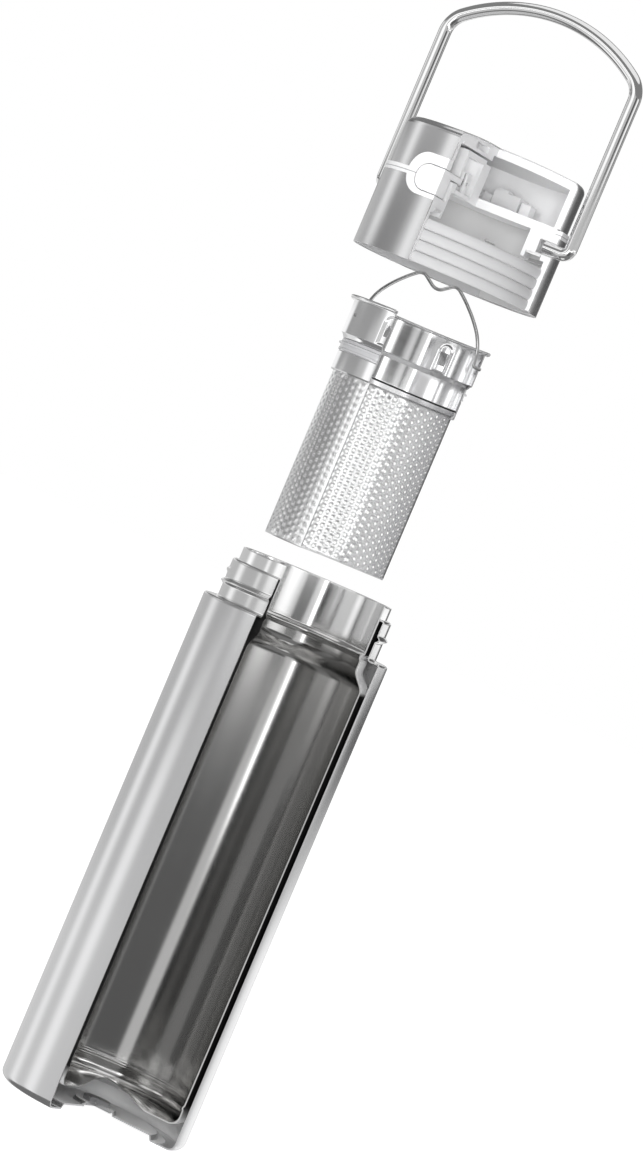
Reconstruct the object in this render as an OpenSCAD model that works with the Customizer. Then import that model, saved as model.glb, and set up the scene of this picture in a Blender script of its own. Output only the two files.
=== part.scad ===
// Thermal teapot: a double-walled steel flask, a lift-out tea infuser and a screw lid with a
// press button and a carrying handle. The parts are pulled apart along the axis and the front
// right quarter is cut away. Z runs up the axis from the face that the flask stands on, and
// -Y is the front, where the button is.

/* [Display] */
// Angle of the sector that is cut away
cut_angle = 90; // [60:5:90]
// How much further that cut runs round the infuser
infuser_cut = 49; // [0:1:49]
// How far the infuser is lifted above its seat on the flask
infuser_raise = 95; // [60:1:140]
// How far the lid is lifted above its seat on the infuser
lid_raise = 36.8; // [36:0.4:80]

/* [Flask] */
// Outer radius of the flask
flask_r = 35; // [34.5:0.5:42]
// Height of the flask up to its shoulder
flask_h = 185.3; // [150:0.1:260]
// Outer radius of the rounded edge round the base
base_round = 4; // [2:0.5:5]
// Height of the seam between the base cap and the shell
base_seam_z = 5; // [5:0.5:8]
// Inner radius of the ring that the flask stands on
foot_r = 25; // [20:0.5:27]
// Height of the hollow under the base
base_hollow = 1.8; // [1:0.1:3]
// Radius of the dimple that holds the vacuum seal
dimple_r = 8; // [6:0.5:12]
// Depth of that dimple
dimple_h = 1.4; // [1:0.1:2]
// Thickness of the outer steel
shell_t = 0.6; // [0.4:0.1:0.8]
// Thickness of the inner vessel's steel
vessel_t = 0.5; // [0.4:0.1:0.8]
// Width of the vacuum space between the walls
vacuum_gap = 2.1; // [1.6:0.1:3]
// Height of the vessel's floor
vessel_floor_z = 9.1; // [8:0.1:14]
// Rise of the dome in the vessel's floor
dome_h = 4.4; // [2:0.1:6]
// Radius of the dome in the vessel's floor
dome_r = 19; // [12:0.5:20]
// Height of the bead round the vessel's foot
foot_bead_z = 15.7; // [14:0.1:18]

/* [Neck] */
// How far the mouth lies inside the flask's outline
mouth_inset = 7.3; // [7:0.1:8.3]
// Height of the mouth's lip above the shoulder
lip_h = 19.3; // [17:0.1:24]
// Height of the threaded neck above the shoulder
neck_h = 14.7; // [12:0.1:15]
// Space between the neck's two walls
neck_gap = 1.5; // [1:0.1:1.8]
// How far the stop bead inside the mouth stands in
stop_bead = 1.3; // [0.6:0.1:1.4]

/* [Infuser] */
// Thickness of the infuser's steel
infuser_t = 0.5; // [0.4:0.1:0.7]
// Width of the rim's flange outside the collar
rim_w = 1.8; // [1.7:0.1:2]
// Wire thickness of the rolled edge on the rim
rim_bead = 1.3; // [1:0.1:1.5]
// Height of the collar
collar_h = 12.25; // [10:0.25:14]
// Clearance between the collar and the mouth
collar_gap = 1.5; // [1.2:0.1:2]
// Step from the collar in to the seal's seat
collar_step = 1.9; // [1.4:0.1:2.2]
// Length of the seal's seat below the collar
seat_len = 9.9; // [9:0.1:12]
// Height of the lower ring
ring_h = 7.2; // [6:0.1:8]
// Depth of the infuser below the flask's lip
infuser_drop = 87.15; // [60:0.05:120]
// Diameter of the perforations
hole_d = 1.8; // [1:0.1:2.4]
// Distance between rows of perforations
hole_rise = 5.26; // [4:0.02:8]
// Perforations in a full turn
hole_count = 33; // [20:1:36]
// Thickness of the bail's wire
bail_d = 1.25; // [1:0.05:1.5]
// Height of the bail above its pivots
bail_h = 23.5; // [20:0.1:24]
// How far the bail leans to the back
bail_lean = 8; // [0:1:20]
// Depth of the bail's pivots below the rim
bail_drop = 5.15; // [4:0.05:7]

/* [Lid] */
// Thickness of the lid's steel
lid_t = 0.5; // [0.4:0.1:0.6]
// How far the lid's steel stands inside the flask's outline
lid_inset = 0.2; // [0:0.1:0.4]
// Height of the gap between the lid and the shoulder
lid_gap = 1.4; // [1:0.1:2]
// Room for the screw threads between the neck and the lid
thread_room = 2.1; // [1.6:0.1:2.3]
// Thickness of the gasket
gasket_t = 0.7; // [0.5:0.1:1]
// Thickness of the skirt inside the mouth
skirt_t = 1.4; // [1:0.1:2]
// Depth of that skirt below the gasket's groove
skirt_h = 2.5; // [1.5:0.1:3]
// Height of the hollow under the middle plate
hollow_h = 7.4; // [7:0.1:10]
// Thickness of the middle plate
plate_t = 3.2; // [2.4:0.1:4]
// Height of the lid above the middle plate
dome_room = 19.1; // [18.6:0.1:24]
// Rise of the lid's crown
crown_h = 1.6; // [0.8:0.1:2]
// Thickness of the plastic liner under the crown
liner_t = 2.9; // [2:0.1:3]
// Thickness of the liner's side wall
liner_wall = 2.4; // [1.6:0.1:3]
// How far the cap stands inside the sleeve's outline
cap_inset = 1.1; // [0.4:0.1:1.4]
// Height of the trim ring between the sleeve and the cap
trim_h = 2.7; // [2:0.1:3.2]

/* [Button] */
// Width of the button
button_w = 21; // [16:0.5:22]
// Height of the button
button_h = 9.4; // [8:0.1:10]
// Clearance round the button
button_gap = 0.3; // [0.2:0.05:0.4]
// How far the button goes in
button_travel = 2.5; // [1.5:0.1:2.6]
// Width of the bezel round the button
bezel_w = 30; // [27:0.5:32]
// Height of the bezel round the button
bezel_h = 15.2; // [14.4:0.1:15.6]
// Radius of the valve's bore
valve_r = 7; // [6:0.1:7.4]
// Lift of the valve at full travel
valve_lift = 2; // [1:0.1:2.2]

/* [Handle] */
// Thickness of the handle's rod
handle_d = 4.7; // [4:0.1:5]
// Gap between the handle's legs and the lid
handle_gap = 1.6; // [1.4:0.1:3]
// Height of the handle above its pivots
handle_h = 76.9; // [70:0.05:100]
// Radius of the handle's corners
handle_corner = 9.65; // [7:0.05:12]
// Radius of the handle's arch
handle_arch = 60.65; // [56:0.05:66]
// End play of the handle, taken up to the right
handle_shift = 1.3; // [0:0.1:1.3]

/* [Hidden] */
$fn = 96;
big = 400;
touch = 0.05;
run_gap = 0.3;

vessel_r = flask_r - shell_t - vacuum_gap - vessel_t;
neck_t = vessel_t;
mouth_r = flask_r - mouth_inset;
neck_r = mouth_r + vessel_t + neck_gap + neck_t;
lip_z = flask_h + lip_h;
neck_z = flask_h + neck_h;

seat_z = lip_z + touch;
collar_r = mouth_r - collar_gap;
rim_r = collar_r + rim_w;
rim_top = seat_z + infuser_t + rim_bead - 0.25;
tube_r = collar_r - collar_step;
tube_z = seat_z - collar_h - seat_len;
slot_w = infuser_t * 5.4;
slot_top = tube_z + seat_len + 7.85;
slot_h = 4.2;
seal_t = infuser_t;
seal_lip = 1.3;
seal_h = 4;
ring_t = 0.4;
ring_z = tube_z - 3.2;
basket_r = tube_r - 0.8;
basket_z = seat_z - infuser_drop;
basket_t = 0.4;
bail_z = seat_z - bail_drop;

lid_r = flask_r - lid_inset;
lid_z = flask_h + lid_gap;
core_r = lid_r - lid_t;
thread_r = neck_r + thread_room;
groove_z = rim_top + 0.1 + gasket_t;
groove_r = neck_r + run_gap;
skirt_r = tube_r;
skirt_in_r = skirt_r - skirt_t;
plate_z = groove_z + hollow_h;
plate_top = plate_z + plate_t;
trim_z = plate_top - trim_h - 0.4;
cap_z = trim_z + trim_h;
cap_r = lid_r - cap_inset;
cap_t = lid_t - 0.1;
liner_r = cap_r - cap_t;
lid_top = plate_top + dome_room;
crown_r = cap_r - 2.7;
crown_ball = (crown_r * crown_r + crown_h * crown_h) / (2 * crown_h);
trim_in_r = lid_r - 2.5;
bush_t = 0.3;
bush_r = handle_d / 2 + touch;
bush_in = core_r - 6.5;
pivot_z = groove_z + bush_r + bush_t + 0.2;

button_z = plate_top - 2.1;
bezel_z = plate_top - 1.1;
button_face = lid_r;
button_back = lid_r - 7.3;
pocket_back = button_back - button_travel - 0.2;
valve_wall = 1.9;
valve_y = valve_r + valve_wall - skirt_in_r;
air_y = liner_r - liner_wall - 7.9;
air_h = 6.6;
air_side_h = 4.4;
spring_x = -5.5;
spring_r = 2.2;
spring_wire = 0.5;
spring_from = button_face - 2.4;
slider_w = 8;
slider_z = plate_top + 0.5;
slider_t = 2.1;
fork_t = 5;
fork_y = valve_y - 4.6;
pin_r = 0.7;
pin_gap = 0.1;
pin_z = slider_z + 1.4;
stem_r = 1.5;

// Points and sheet metal

function unit(v) = v / norm(v);
function left_of(a, b) = let (d = unit(b - a)) [-d[1], d[0]];
function arc(c, r, from, to, steps = 6) =
    [for (i = [0:steps]) let (a = from + (to - from) * i / steps) c + r * [cos(a), sin(a)]];
// A smooth step from one point to another that starts and ends along Z
function s_curve(p, q, steps = 8) =
    [for (i = [0:steps]) let (s = i / steps) [p[0] + (q[0] - p[0]) * (1 - cos(180 * s)) / 2,
                                             p[1] + (q[1] - p[1]) * s]];
function shifted(p, i, t) =
    let (last = len(p) - 1,
         before = i > 0 ? left_of(p[i - 1], p[i]) : left_of(p[0], p[1]),
         after = i < last ? left_of(p[i], p[i + 1]) : before)
    p[i] + t * (before + after) / (1 + before * after);
// The outline of a sheet whose one face follows the path, with the metal on its left
function sheet(path, t) =
    concat(path, [for (i = [len(path) - 1:-1:0]) shifted(path, i, t)]);
// Height of the lid's crown at a radius
function crown_at(r) = lid_top - crown_ball + sqrt(crown_ball * crown_ball - r * r);

module revolve(outline, more_cut = 0) rotate([0, 0, more_cut])
    rotate_extrude(angle = 360 - cut_angle - more_cut) polygon(outline);
module ring(r_in, r_out, z0, z1, more_cut = 0) rotate([0, 0, more_cut])
    rotate_extrude(angle = 360 - cut_angle - more_cut)
        translate([r_in, z0]) square([r_out - r_in, z1 - z0]);
module rolled_edge(r, d, z) rotate([0, 0, infuser_cut])
    rotate_extrude(angle = 360 - cut_angle - infuser_cut) translate([r, z]) circle(d = d, $fn = 24);
module opened() difference() {
    children();
    translate([0, 0, -big / 2]) rotate([0, 0, -cut_angle])
        rotate_extrude(angle = cut_angle) square([big, 2 * big]);
}
module lifted_infuser() translate([0, 0, infuser_raise]) children();
module lifted_lid() translate([0, 0, infuser_raise + lid_raise]) children();
// A bar across the front with round ends, from radius r_in to r_out
module stadium(w, h, z, r_in, r_out) translate([0, -r_in, z]) rotate([90, 0, 0])
    linear_extrude(r_out - r_in) {
        square([w - h, h], center = true);
        for (side = [-1, 1]) translate([side * (w - h) / 2, 0]) circle(d = h);
    }
// The seat of the bezel in the curved wall
module bezel_seat() intersection() {
    ring(trim_in_r, lid_r + 1, lid_z, lid_top);
    stadium(bezel_w, bezel_h, bezel_z, 20, big);
}
module box(x0, x1, y0, y1, z0, z1) translate([x0, y0, z0]) cube([x1 - x0, y1 - y0, z1 - z0]);
module across_x(r, x0, x1, y, z)
    translate([x0, y, z]) rotate([0, 90, 0]) cylinder(r = r, h = x1 - x0);

// Flask

module outer_shell() color("silver")
    revolve(sheet(concat([[flask_r, base_seam_z]],
                         arc([flask_r - 0.8, flask_h - 0.8], 0.8, 0, 90, 4),
                         [[flask_r - 1, flask_h]]), shell_t));

module base_cap() color("silver")
    revolve(sheet(concat(
        [[0, base_hollow + dimple_h], [dimple_r - 0.8, base_hollow + dimple_h],
         [dimple_r, base_hollow], [foot_r - 1.2, base_hollow]],
        [[foot_r, 0], [flask_r - base_round, 0]],
        arc([flask_r - base_round, base_round], base_round, -75, 0, 5),
        [[flask_r, base_seam_z]]), shell_t));

module neck_ring() color("silver")
    revolve(sheet(concat(
        [[flask_r - 1, flask_h], [flask_r - 1.2, flask_h]],
        arc([neck_r + 0.8, flask_h + 1.4], 0.8, -100, -180, 4),
        arc([neck_r - 0.9, neck_z - 0.9], 0.9, 0, 90, 4),
        [[mouth_r + vessel_t, neck_z]]), neck_t));

module inner_vessel() color("gray")
    revolve(sheet(concat(
        [[0, vessel_floor_z + dome_h], [1, vessel_floor_z + dome_h]],
        [for (i = [1:8]) let (s = i / 8)
            [dome_r * s, vessel_floor_z + dome_h * pow(1 - s * s, 1.3)]],
        arc([vessel_r - 3.5, vessel_floor_z + 3.5], 3.5, -90, 0),
        [[vessel_r, foot_bead_z - 0.8], [vessel_r - 0.35, foot_bead_z - 0.3],
         [vessel_r - 0.35, foot_bead_z + 0.3], [vessel_r, foot_bead_z + 0.8]],
        s_curve([vessel_r, flask_h - 13.3], [mouth_r - 0.6, flask_h - 5.3]),
        [[mouth_r - 0.6, flask_h - 2]],
        s_curve([mouth_r - 0.6, flask_h - 1.7], [mouth_r - stop_bead, flask_h - 0.2], 3),
        [[mouth_r - stop_bead + 0.2, flask_h + 0.5], [mouth_r, flask_h + 1.2],
         [mouth_r, lip_z]]), -vessel_t));

module vacuum_seal() color("dimgray")
    ring(0, dimple_r - 1.5, base_hollow + dimple_h - 0.8, base_hollow + dimple_h);

module getter() color("gainsboro")
    ring(0, dimple_r - 3, base_hollow + dimple_h + shell_t, base_hollow + dimple_h + shell_t + 1.6);

// Infuser

module infuser_collar() color("silver") lifted_infuser() difference() {
    union() {
        revolve(sheet(concat(
            [[tube_r, tube_z], [tube_r, seat_z - collar_h - 1.6]],
            [[tube_r + 0.3, seat_z - collar_h - 1.2], [collar_r - 0.3, seat_z - collar_h - 0.4]],
            [[collar_r, seat_z - collar_h], [collar_r, seat_z + infuser_t]]), infuser_t), infuser_cut);
        ring(collar_r - 0.9, rim_r - rim_bead / 2, seat_z, seat_z + infuser_t, infuser_cut);
        rolled_edge(rim_r - rim_bead / 2, rim_bead, rim_top - rim_bead / 2);
        rolled_edge(collar_r - 0.9, rim_bead - 0.3, rim_top - rim_bead / 2);
    }
    rotate([0, 0, infuser_cut]) across_x(bail_d / 2 + touch, -big, big, 0, bail_z);
    box(-slot_w / 2, slot_w / 2, -big, big, slot_top - slot_h, slot_top);
}

module infuser_seal() color("whitesmoke") lifted_infuser() {
    top = seat_z - collar_h - 1.7;
    lip_top = top - seal_h / 4;
    foot_top = top - seal_h * 0.8;
    revolve([[tube_r, top], [tube_r + seal_t, top], [tube_r + seal_t, lip_top],
             [tube_r + seal_lip, lip_top - 0.3], [tube_r + seal_lip, lip_top - 0.9],
             [tube_r + seal_t, lip_top - 0.9], [tube_r + seal_t, foot_top],
             [tube_r + seal_t + 0.2, foot_top - 0.3], [tube_r + seal_t + 0.2, top - seal_h],
             [tube_r, top - seal_h]], infuser_cut);
}

module lower_ring() color("silver") lifted_infuser()
    revolve([[tube_r, ring_z + ring_h], [tube_r, ring_z + ring_t], [tube_r - 0.4, ring_z + ring_t],
             [tube_r - 0.4, ring_z], [tube_r + ring_t - 0.3, ring_z],
             [tube_r + ring_t, ring_z + 0.4], [tube_r + ring_t, ring_z + ring_h - 0.4],
             [tube_r + ring_t - 0.2, ring_z + ring_h]], infuser_cut);

module infuser_basket() color("gainsboro") lifted_infuser() difference() {
    flare_z = ring_z + ring_t + 0.2;
    revolve(sheet([[basket_r, basket_z], [basket_r, flare_z - 0.4], [tube_r - touch, flare_z + 0.4],
                   [tube_r - touch, tube_z - 0.4]], basket_t), infuser_cut);
    first_z = basket_z + hole_rise / 2;
    rows = floor((ring_z - 1.5 - first_z) / hole_rise);
    margin = 3;
    for (row = [0:rows], i = [0:hole_count - 1]) {
        a = (i + (row % 2) / 2) * 360 / hole_count;
        if (a > infuser_cut + margin && a < 360 - cut_angle - margin)
            translate([0, 0, first_z + row * hole_rise]) rotate([0, 90, a])
                translate([0, 0, basket_r - 1.5]) cylinder(d = hole_d, h = 3, $fn = 16);
    }
}

module basket_floor() color("gainsboro") lifted_infuser() difference() {
    ring(0, basket_r - basket_t, basket_z, basket_z + basket_t, infuser_cut);
    rings = floor((basket_r - 3) / hole_rise);
    for (k = [1:max(1, rings)], i = [0:6 * k - 1]) {
        a = (i + 0.5) * 360 / (6 * k);
        if (a > infuser_cut + 4 && a < 360 - cut_angle - 4)
            rotate([0, 0, a]) translate([k * hole_rise, 0, basket_z - 1])
                cylinder(d = hole_d, h = 3, $fn = 16);
    }
}

// Half of the bail's outline above its pivots, from the side to the dip in the middle
function bail_half() =
    let (w = collar_r - infuser_t - bail_d / 2 - 1.6)
    [[w, 2], [w - 0.4, 5], [w - 1.3, 8], [w - 3.2, bail_h * 0.494], [w - 6.6, bail_h * 0.672],
     [w - 10.9, bail_h * 0.847], [9.2, bail_h - 0.95], [7.9, bail_h - 0.25], [6.9, bail_h - 0.05],
     [5.7, bail_h - 0.4],
     [3.4, bail_h - 1.9], [1.6, bail_h - 3], [0, bail_h - 3.3]];
function mirrored(p) = [for (i = [len(p) - 2:-1:0]) [-p[i][0], p[i][1]]];
function smooth_at(p, i, s) =
    let (last = len(p) - 1, a = p[max(i - 1, 0)], b = p[i], c = p[min(i + 1, last)],
         d = p[min(i + 2, last)])
    0.5 * (2 * b + (c - a) * s + (2 * a - 5 * b + 4 * c - d) * s * s
           + (3 * b - a - 3 * c + d) * s * s * s);
function smooth(p, steps) =
    concat([for (i = [0:len(p) - 2], k = [0:steps - 1]) smooth_at(p, i, k / steps)],
           [p[len(p) - 1]]);
// A round wire along a path of points in the plane Y = 0
module flat_wire(path, d, sides = 8) {
    last = len(path) - 1;
    rings = [for (i = [0:last])
        let (n = left_of(path[max(i - 1, 0)], path[min(i + 1, last)]))
        for (k = [0:sides - 1]) let (a = 360 * k / sides)
            [path[i][0] + d / 2 * cos(a) * n[0], d / 2 * sin(a), path[i][1] + d / 2 * cos(a) * n[1]]];
    quads = [for (i = [0:last - 1], k = [0:sides - 1])
        let (a = i * sides + k, b = i * sides + (k + 1) % sides) [a, b, b + sides, a + sides]];
    polyhedron(rings, concat(
        [for (q = quads) [q[0], q[1], q[2]]], [for (q = quads) [q[0], q[2], q[3]]],
        [[for (k = [sides - 1:-1:0]) k]], [[for (k = [0:sides - 1]) last * sides + k]]));
}

module infuser_bail() color("silver") lifted_infuser() translate([0, 0, bail_z])
    rotate([0, 0, infuser_cut]) rotate([-bail_lean, 0, 0]) {
        half = bail_half();
        flat_wire(smooth(concat(half, mirrored(half)), 4), bail_d);
        for (side = [-1, 1]) {
            translate([side * half[0][0], 0, 0]) cylinder(d = bail_d, h = half[0][1] + 0.3, $fn = 24);
            translate([side * half[0][0], 0, 0]) sphere(d = bail_d, $fn = 24);
            translate([side * half[0][0], 0, 0]) rotate([0, side * 90, 0])
                cylinder(d = bail_d, h = collar_r + 0.9 - half[0][0], $fn = 24);
        }
    }

// Lid

// The outline of the lid's cap, from its seam up to the middle of the crown
function cap_path() = concat(
    [[cap_r, cap_z], [cap_r, plate_top]],
    arc([crown_r, crown_at(crown_r) - 2.7], 2.7, 0, 80, 5),
    [for (s = [0.8:-0.2:0.2]) [crown_r * s, crown_at(crown_r * s)]],
    [[1, lid_top], [0, lid_top]]);

module lid_gasket() color("whitesmoke") lifted_lid()
    ring(skirt_r + run_gap, groove_r - run_gap, groove_z - gasket_t - touch, groove_z - touch);

module lid_core() color("white") lifted_lid() opened() difference() {
    union() {
        ring(thread_r, core_r, lid_z + 0.6, groove_z);
        ring(groove_r, core_r, groove_z - 1.8, groove_z);
        ring(skirt_in_r, core_r, groove_z, trim_z);
        ring(skirt_in_r, skirt_r, groove_z - skirt_h, groove_z + touch);
        ring(0, trim_in_r, plate_z, plate_top);
        ring(skirt_in_r, trim_in_r, trim_z - touch, plate_top);
    }
    translate([0, valve_y, plate_z - 1]) cylinder(r = valve_r, h = plate_t + 2);
    box(-2.4, 2.4, skirt_in_r - 3, skirt_r + 0.5, groove_z - skirt_h - 1, groove_z - skirt_h + 2);
    for (side = [0, 180]) rotate([0, 0, side])
        across_x(bush_r + bush_t, bush_in, big, 0, pivot_z);
    bezel_seat();
    stadium(button_w + 2 * button_gap, button_h + 2 * button_gap, button_z, pocket_back, big);
}

module lid_sleeve() color("silver") lifted_lid() opened() difference() {
    ring(core_r, lid_r, lid_z, trim_z);
    stadium(bezel_w, bezel_h, bezel_z, 20, big);
    for (side = [0, 180]) rotate([0, 0, side])
        across_x(bush_r + bush_t, bush_in, big, 0, pivot_z);
}

module trim_ring() color("white") lifted_lid() opened() difference() {
    union() {
        ring(trim_in_r, lid_r, trim_z, cap_z);
        intersection() {
            bezel_seat();
            ring(0, lid_r, lid_z, lid_top);
        }
    }
    stadium(button_w + 2 * button_gap, button_h + 2 * button_gap, button_z, 20, big);
}

module lid_cap() color("silver") lifted_lid() opened() difference() {
    revolve(sheet(cap_path(), cap_t));
    stadium(bezel_w, bezel_h, bezel_z, 20, big);
}

module lid_liner() color("white") lifted_lid() opened() difference() {
    top = lid_top - cap_t;
    union() {
        path = cap_path();
        revolve(concat(
            [for (i = [1:len(path) - 1]) shifted(path, i, cap_t)],
            [[0, top - liner_t]],
            [for (s = [0.2:0.2:0.8]) [crown_r * s, crown_at(crown_r * s) - cap_t - liner_t]],
            [[liner_r - liner_wall, crown_at(crown_r) - cap_t - liner_t],
             [liner_r - liner_wall, plate_top]]));
        box(-9, 9, -crown_r + 1.5, -2, top - liner_t - 2.2, top - 1.8);
    }
    box(-4, 4, -19, -8, top - liner_t - 1, top - 1.6);
    bezel_seat();
    stadium(button_w + 2 * button_gap, button_h + 2 * button_gap, button_z, 20, big);
}

module valve_housing() color("white") lifted_lid() opened() difference() {
    top = plate_top + 12.8;
    union() {
        translate([0, valve_y, plate_top]) cylinder(r = valve_r + 1.6, h = top - plate_top);
        box(-5.5, 5.5, valve_y + 3, -0.5, plate_top, top - 1.2);
    }
    translate([0, valve_y, plate_top - 1]) cylinder(r = valve_r, h = top - plate_top - 0.8);
    box(-slider_w / 2 - run_gap, slider_w / 2 + run_gap, -big, valve_y, slider_z - run_gap,
        slider_z + slider_t + run_gap);
}

module air_valve_body() color("white") lifted_lid() {
    box(-4, 6.5, air_y - 4, air_y + 4, plate_top, plate_top + air_h);
    box(-9.5, -4, air_y - 3, air_y + 3, plate_top, plate_top + 1);
    box(-9.5, -4.6, air_y - 3, air_y + 3, plate_top, plate_top + air_side_h);
    box(6.5, 11, air_y - 3, air_y + 2, plate_top, plate_top + 1);
    box(7.1, 11, air_y - 3, air_y + 2, plate_top, plate_top + air_side_h + 1);
}

module air_valve_cap() color("white") lifted_lid()
    box(-3.5, 0.5, air_y - 2.5, air_y + 2.5, plate_top + air_h, plate_top + air_h + 1);

module pivot_bushes() color("dimgray") lifted_lid() opened() for (side = [0, 180])
    rotate([0, 0, side]) difference() {
        across_x(bush_r + bush_t, bush_in, core_r + lid_t - 0.1, 0, pivot_z);
        across_x(bush_r, bush_in - 1, big, 0, pivot_z);
    }

// Button and valve

module coil(r, d, length, turns, sides = 6, steps = 16) {
    last = turns * steps;
    points = [for (i = [0:last]) let (a = 360 * i / steps)
        for (k = [0:sides - 1]) let (b = 360 * k / sides)
            [(r + d / 2 * cos(b)) * cos(a), (r + d / 2 * cos(b)) * sin(a),
             d / 2 + (length - d) * i / last + d / 2 * sin(b)]];
    quads = [for (i = [0:last - 1], k = [0:sides - 1])
        let (a = i * sides + k, b = i * sides + (k + 1) % sides) [a, b, b + sides, a + sides]];
    polyhedron(points, concat(
        [for (q = quads) [q[0], q[2], q[1]]], [for (q = quads) [q[0], q[3], q[2]]],
        [[for (k = [0:sides - 1]) k]], [[for (k = [sides - 1:-1:0]) last * sides + k]]));
}

module button_spring() color("silver") lifted_lid()
    translate([spring_x, -spring_from, button_z - 0.4]) rotate([-90, 0, 0])
        coil(spring_r, spring_wire, spring_from - pocket_back, 6);

module front_button() color("white") lifted_lid() opened() difference() {
    intersection() {
        stadium(button_w, button_h, button_z, button_back, big);
        ring(0, button_face, lid_z, lid_top);
    }
    for (side = [-1, 1]) translate([side * spring_x, -button_back + 1, button_z - 0.4])
        rotate([90, 0, 0]) cylinder(r = spring_r + 0.6, h = spring_from - button_back + 1);
}

module button_slider() color("white") lifted_lid() opened() difference() {
    union() {
        box(-slider_w / 2, slider_w / 2, -button_back, fork_y, slider_z, slider_z + slider_t);
        box(-slider_w / 2, slider_w / 2, fork_y, valve_y + 2.8, slider_z, slider_z + fork_t);
    }
    box(-stem_r - run_gap, stem_r + run_gap, valve_y - stem_r - button_travel - 0.5, big,
        slider_z - 1, big);
    // The cam slot runs back and up, so that the pin rises as the slider goes in
    translate([-big / 2, valve_y, pin_z]) rotate([atan2(valve_lift, -button_travel), 0, 0])
        translate([0, -pin_r - pin_gap, -pin_r - pin_gap])
            cube([big, norm([valve_lift, button_travel]) + 2 * (pin_r + pin_gap),
                  2 * (pin_r + pin_gap)]);
}

module valve_plug() color("white") lifted_lid() opened() difference() {
    translate([0, valve_y, plate_z + 0.2]) {
        cylinder(r = valve_r - run_gap - 0.3, h = 1.4);
        cylinder(r = stem_r, h = plate_t + 5.5);
    }
    across_x(pin_r, -big, big, valve_y, pin_z);
}

module valve_seal() color("whitesmoke") lifted_lid() opened()
    translate([0, valve_y, plate_z + 0.5]) difference() {
        cylinder(r = valve_r - 0.15, h = 0.9);
        translate([0, 0, -1]) cylinder(r = valve_r - run_gap - 0.3, h = 3);
    }

module cam_pin() color("silver") lifted_lid() opened()
    across_x(pin_r, -slider_w / 2 + 0.2, slider_w / 2 - 0.2, valve_y, pin_z);

// Handle

// Half of the handle's centre line above its pivots, from the foot of a leg to the arch's top
function handle_half() =
    let (half_w = lid_r + handle_gap + handle_d / 2,
         foot = handle_d / 2 + run_gap,
         corner_x = half_w - handle_corner,
         arch_z = handle_h - handle_arch,
         corner_z = arch_z + sqrt(pow(handle_arch - handle_corner, 2) - corner_x * corner_x),
         meet = atan2(corner_z - arch_z, corner_x))
    concat(arc([half_w - foot, foot], foot, -90, 0, 6),
           arc([corner_x, corner_z], handle_corner, 0, meet, 8),
           [for (i = [1:8]) let (a = meet + (90 - meet) * i / 8)
               [handle_arch * cos(a), arch_z + handle_arch * sin(a)]]);

module handle() color("silver") lifted_lid() translate([handle_shift, 0, pivot_z]) {
    half = handle_half();
    flat_wire(concat(half, mirrored(half)), handle_d, 20);
    for (side = [0, 180]) rotate([0, 0, side]) translate([bush_in + 1.5, 0, 0])
        rotate([0, 90, 0]) cylinder(d = handle_d, h = half[0][0] - bush_in - 1.5);
}

outer_shell();
base_cap();
neck_ring();
inner_vessel();
vacuum_seal();
getter();
infuser_collar();
infuser_seal();
lower_ring();
infuser_basket();
basket_floor();
infuser_bail();
lid_gasket();
lid_core();
lid_sleeve();
trim_ring();
lid_cap();
lid_liner();
valve_housing();
air_valve_body();
air_valve_cap();
pivot_bushes();
button_spring();
front_button();
button_slider();
valve_plug();
valve_seal();
cam_pin();
handle();
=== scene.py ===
"""Looks of the thermal teapot: a double-walled steel flask, a lift-out infuser and a screw lid.

The parts are pulled apart along the axis and the front right quarter is cut away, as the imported
model has them. The sizes below are in millimetres, at rest, in the model's own frame.
"""

from __future__ import annotations

import logging
import math
from dataclasses import dataclass
from enum import Enum
from typing import Callable, Sequence

import bmesh
import bpy
import numpy as np
from mathutils import Matrix, Vector

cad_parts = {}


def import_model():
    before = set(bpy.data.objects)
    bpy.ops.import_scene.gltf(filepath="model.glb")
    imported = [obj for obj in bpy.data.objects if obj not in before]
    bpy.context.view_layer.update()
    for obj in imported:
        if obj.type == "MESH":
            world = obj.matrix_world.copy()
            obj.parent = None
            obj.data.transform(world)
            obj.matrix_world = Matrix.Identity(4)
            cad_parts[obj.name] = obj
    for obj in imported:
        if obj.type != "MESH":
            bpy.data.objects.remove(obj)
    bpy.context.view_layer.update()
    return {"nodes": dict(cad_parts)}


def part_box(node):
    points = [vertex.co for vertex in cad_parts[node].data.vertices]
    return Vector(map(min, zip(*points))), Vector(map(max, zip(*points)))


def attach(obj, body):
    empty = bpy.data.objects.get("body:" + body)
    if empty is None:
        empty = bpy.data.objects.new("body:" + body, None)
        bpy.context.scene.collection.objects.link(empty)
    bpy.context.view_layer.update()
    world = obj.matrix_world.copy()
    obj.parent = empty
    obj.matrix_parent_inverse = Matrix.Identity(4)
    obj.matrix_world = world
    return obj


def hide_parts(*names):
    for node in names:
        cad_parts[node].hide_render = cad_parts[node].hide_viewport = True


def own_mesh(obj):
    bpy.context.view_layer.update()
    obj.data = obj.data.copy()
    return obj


LOG = logging.getLogger("teapot")
MM = 0.001
CUT_TO = 270.0  # the solid part of every turned piece runs from 0 to this angle, in degrees
SHARP = 35.0  # edges sharper than this many degrees stay sharp
FLOAT = "NodeSocketFloat"
WHITE = (1.0, 1.0, 1.0, 1.0)

Path = list[tuple[float, float]]
Solid = tuple[np.ndarray, list[list[int]]]  # points in mm, and faces as point numbers


class Level(Enum):
    """How far a group of pieces is lifted above its place on the flask, in mm."""

    INFUSER = 95.0
    LID = 131.8


# Outlines


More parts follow.
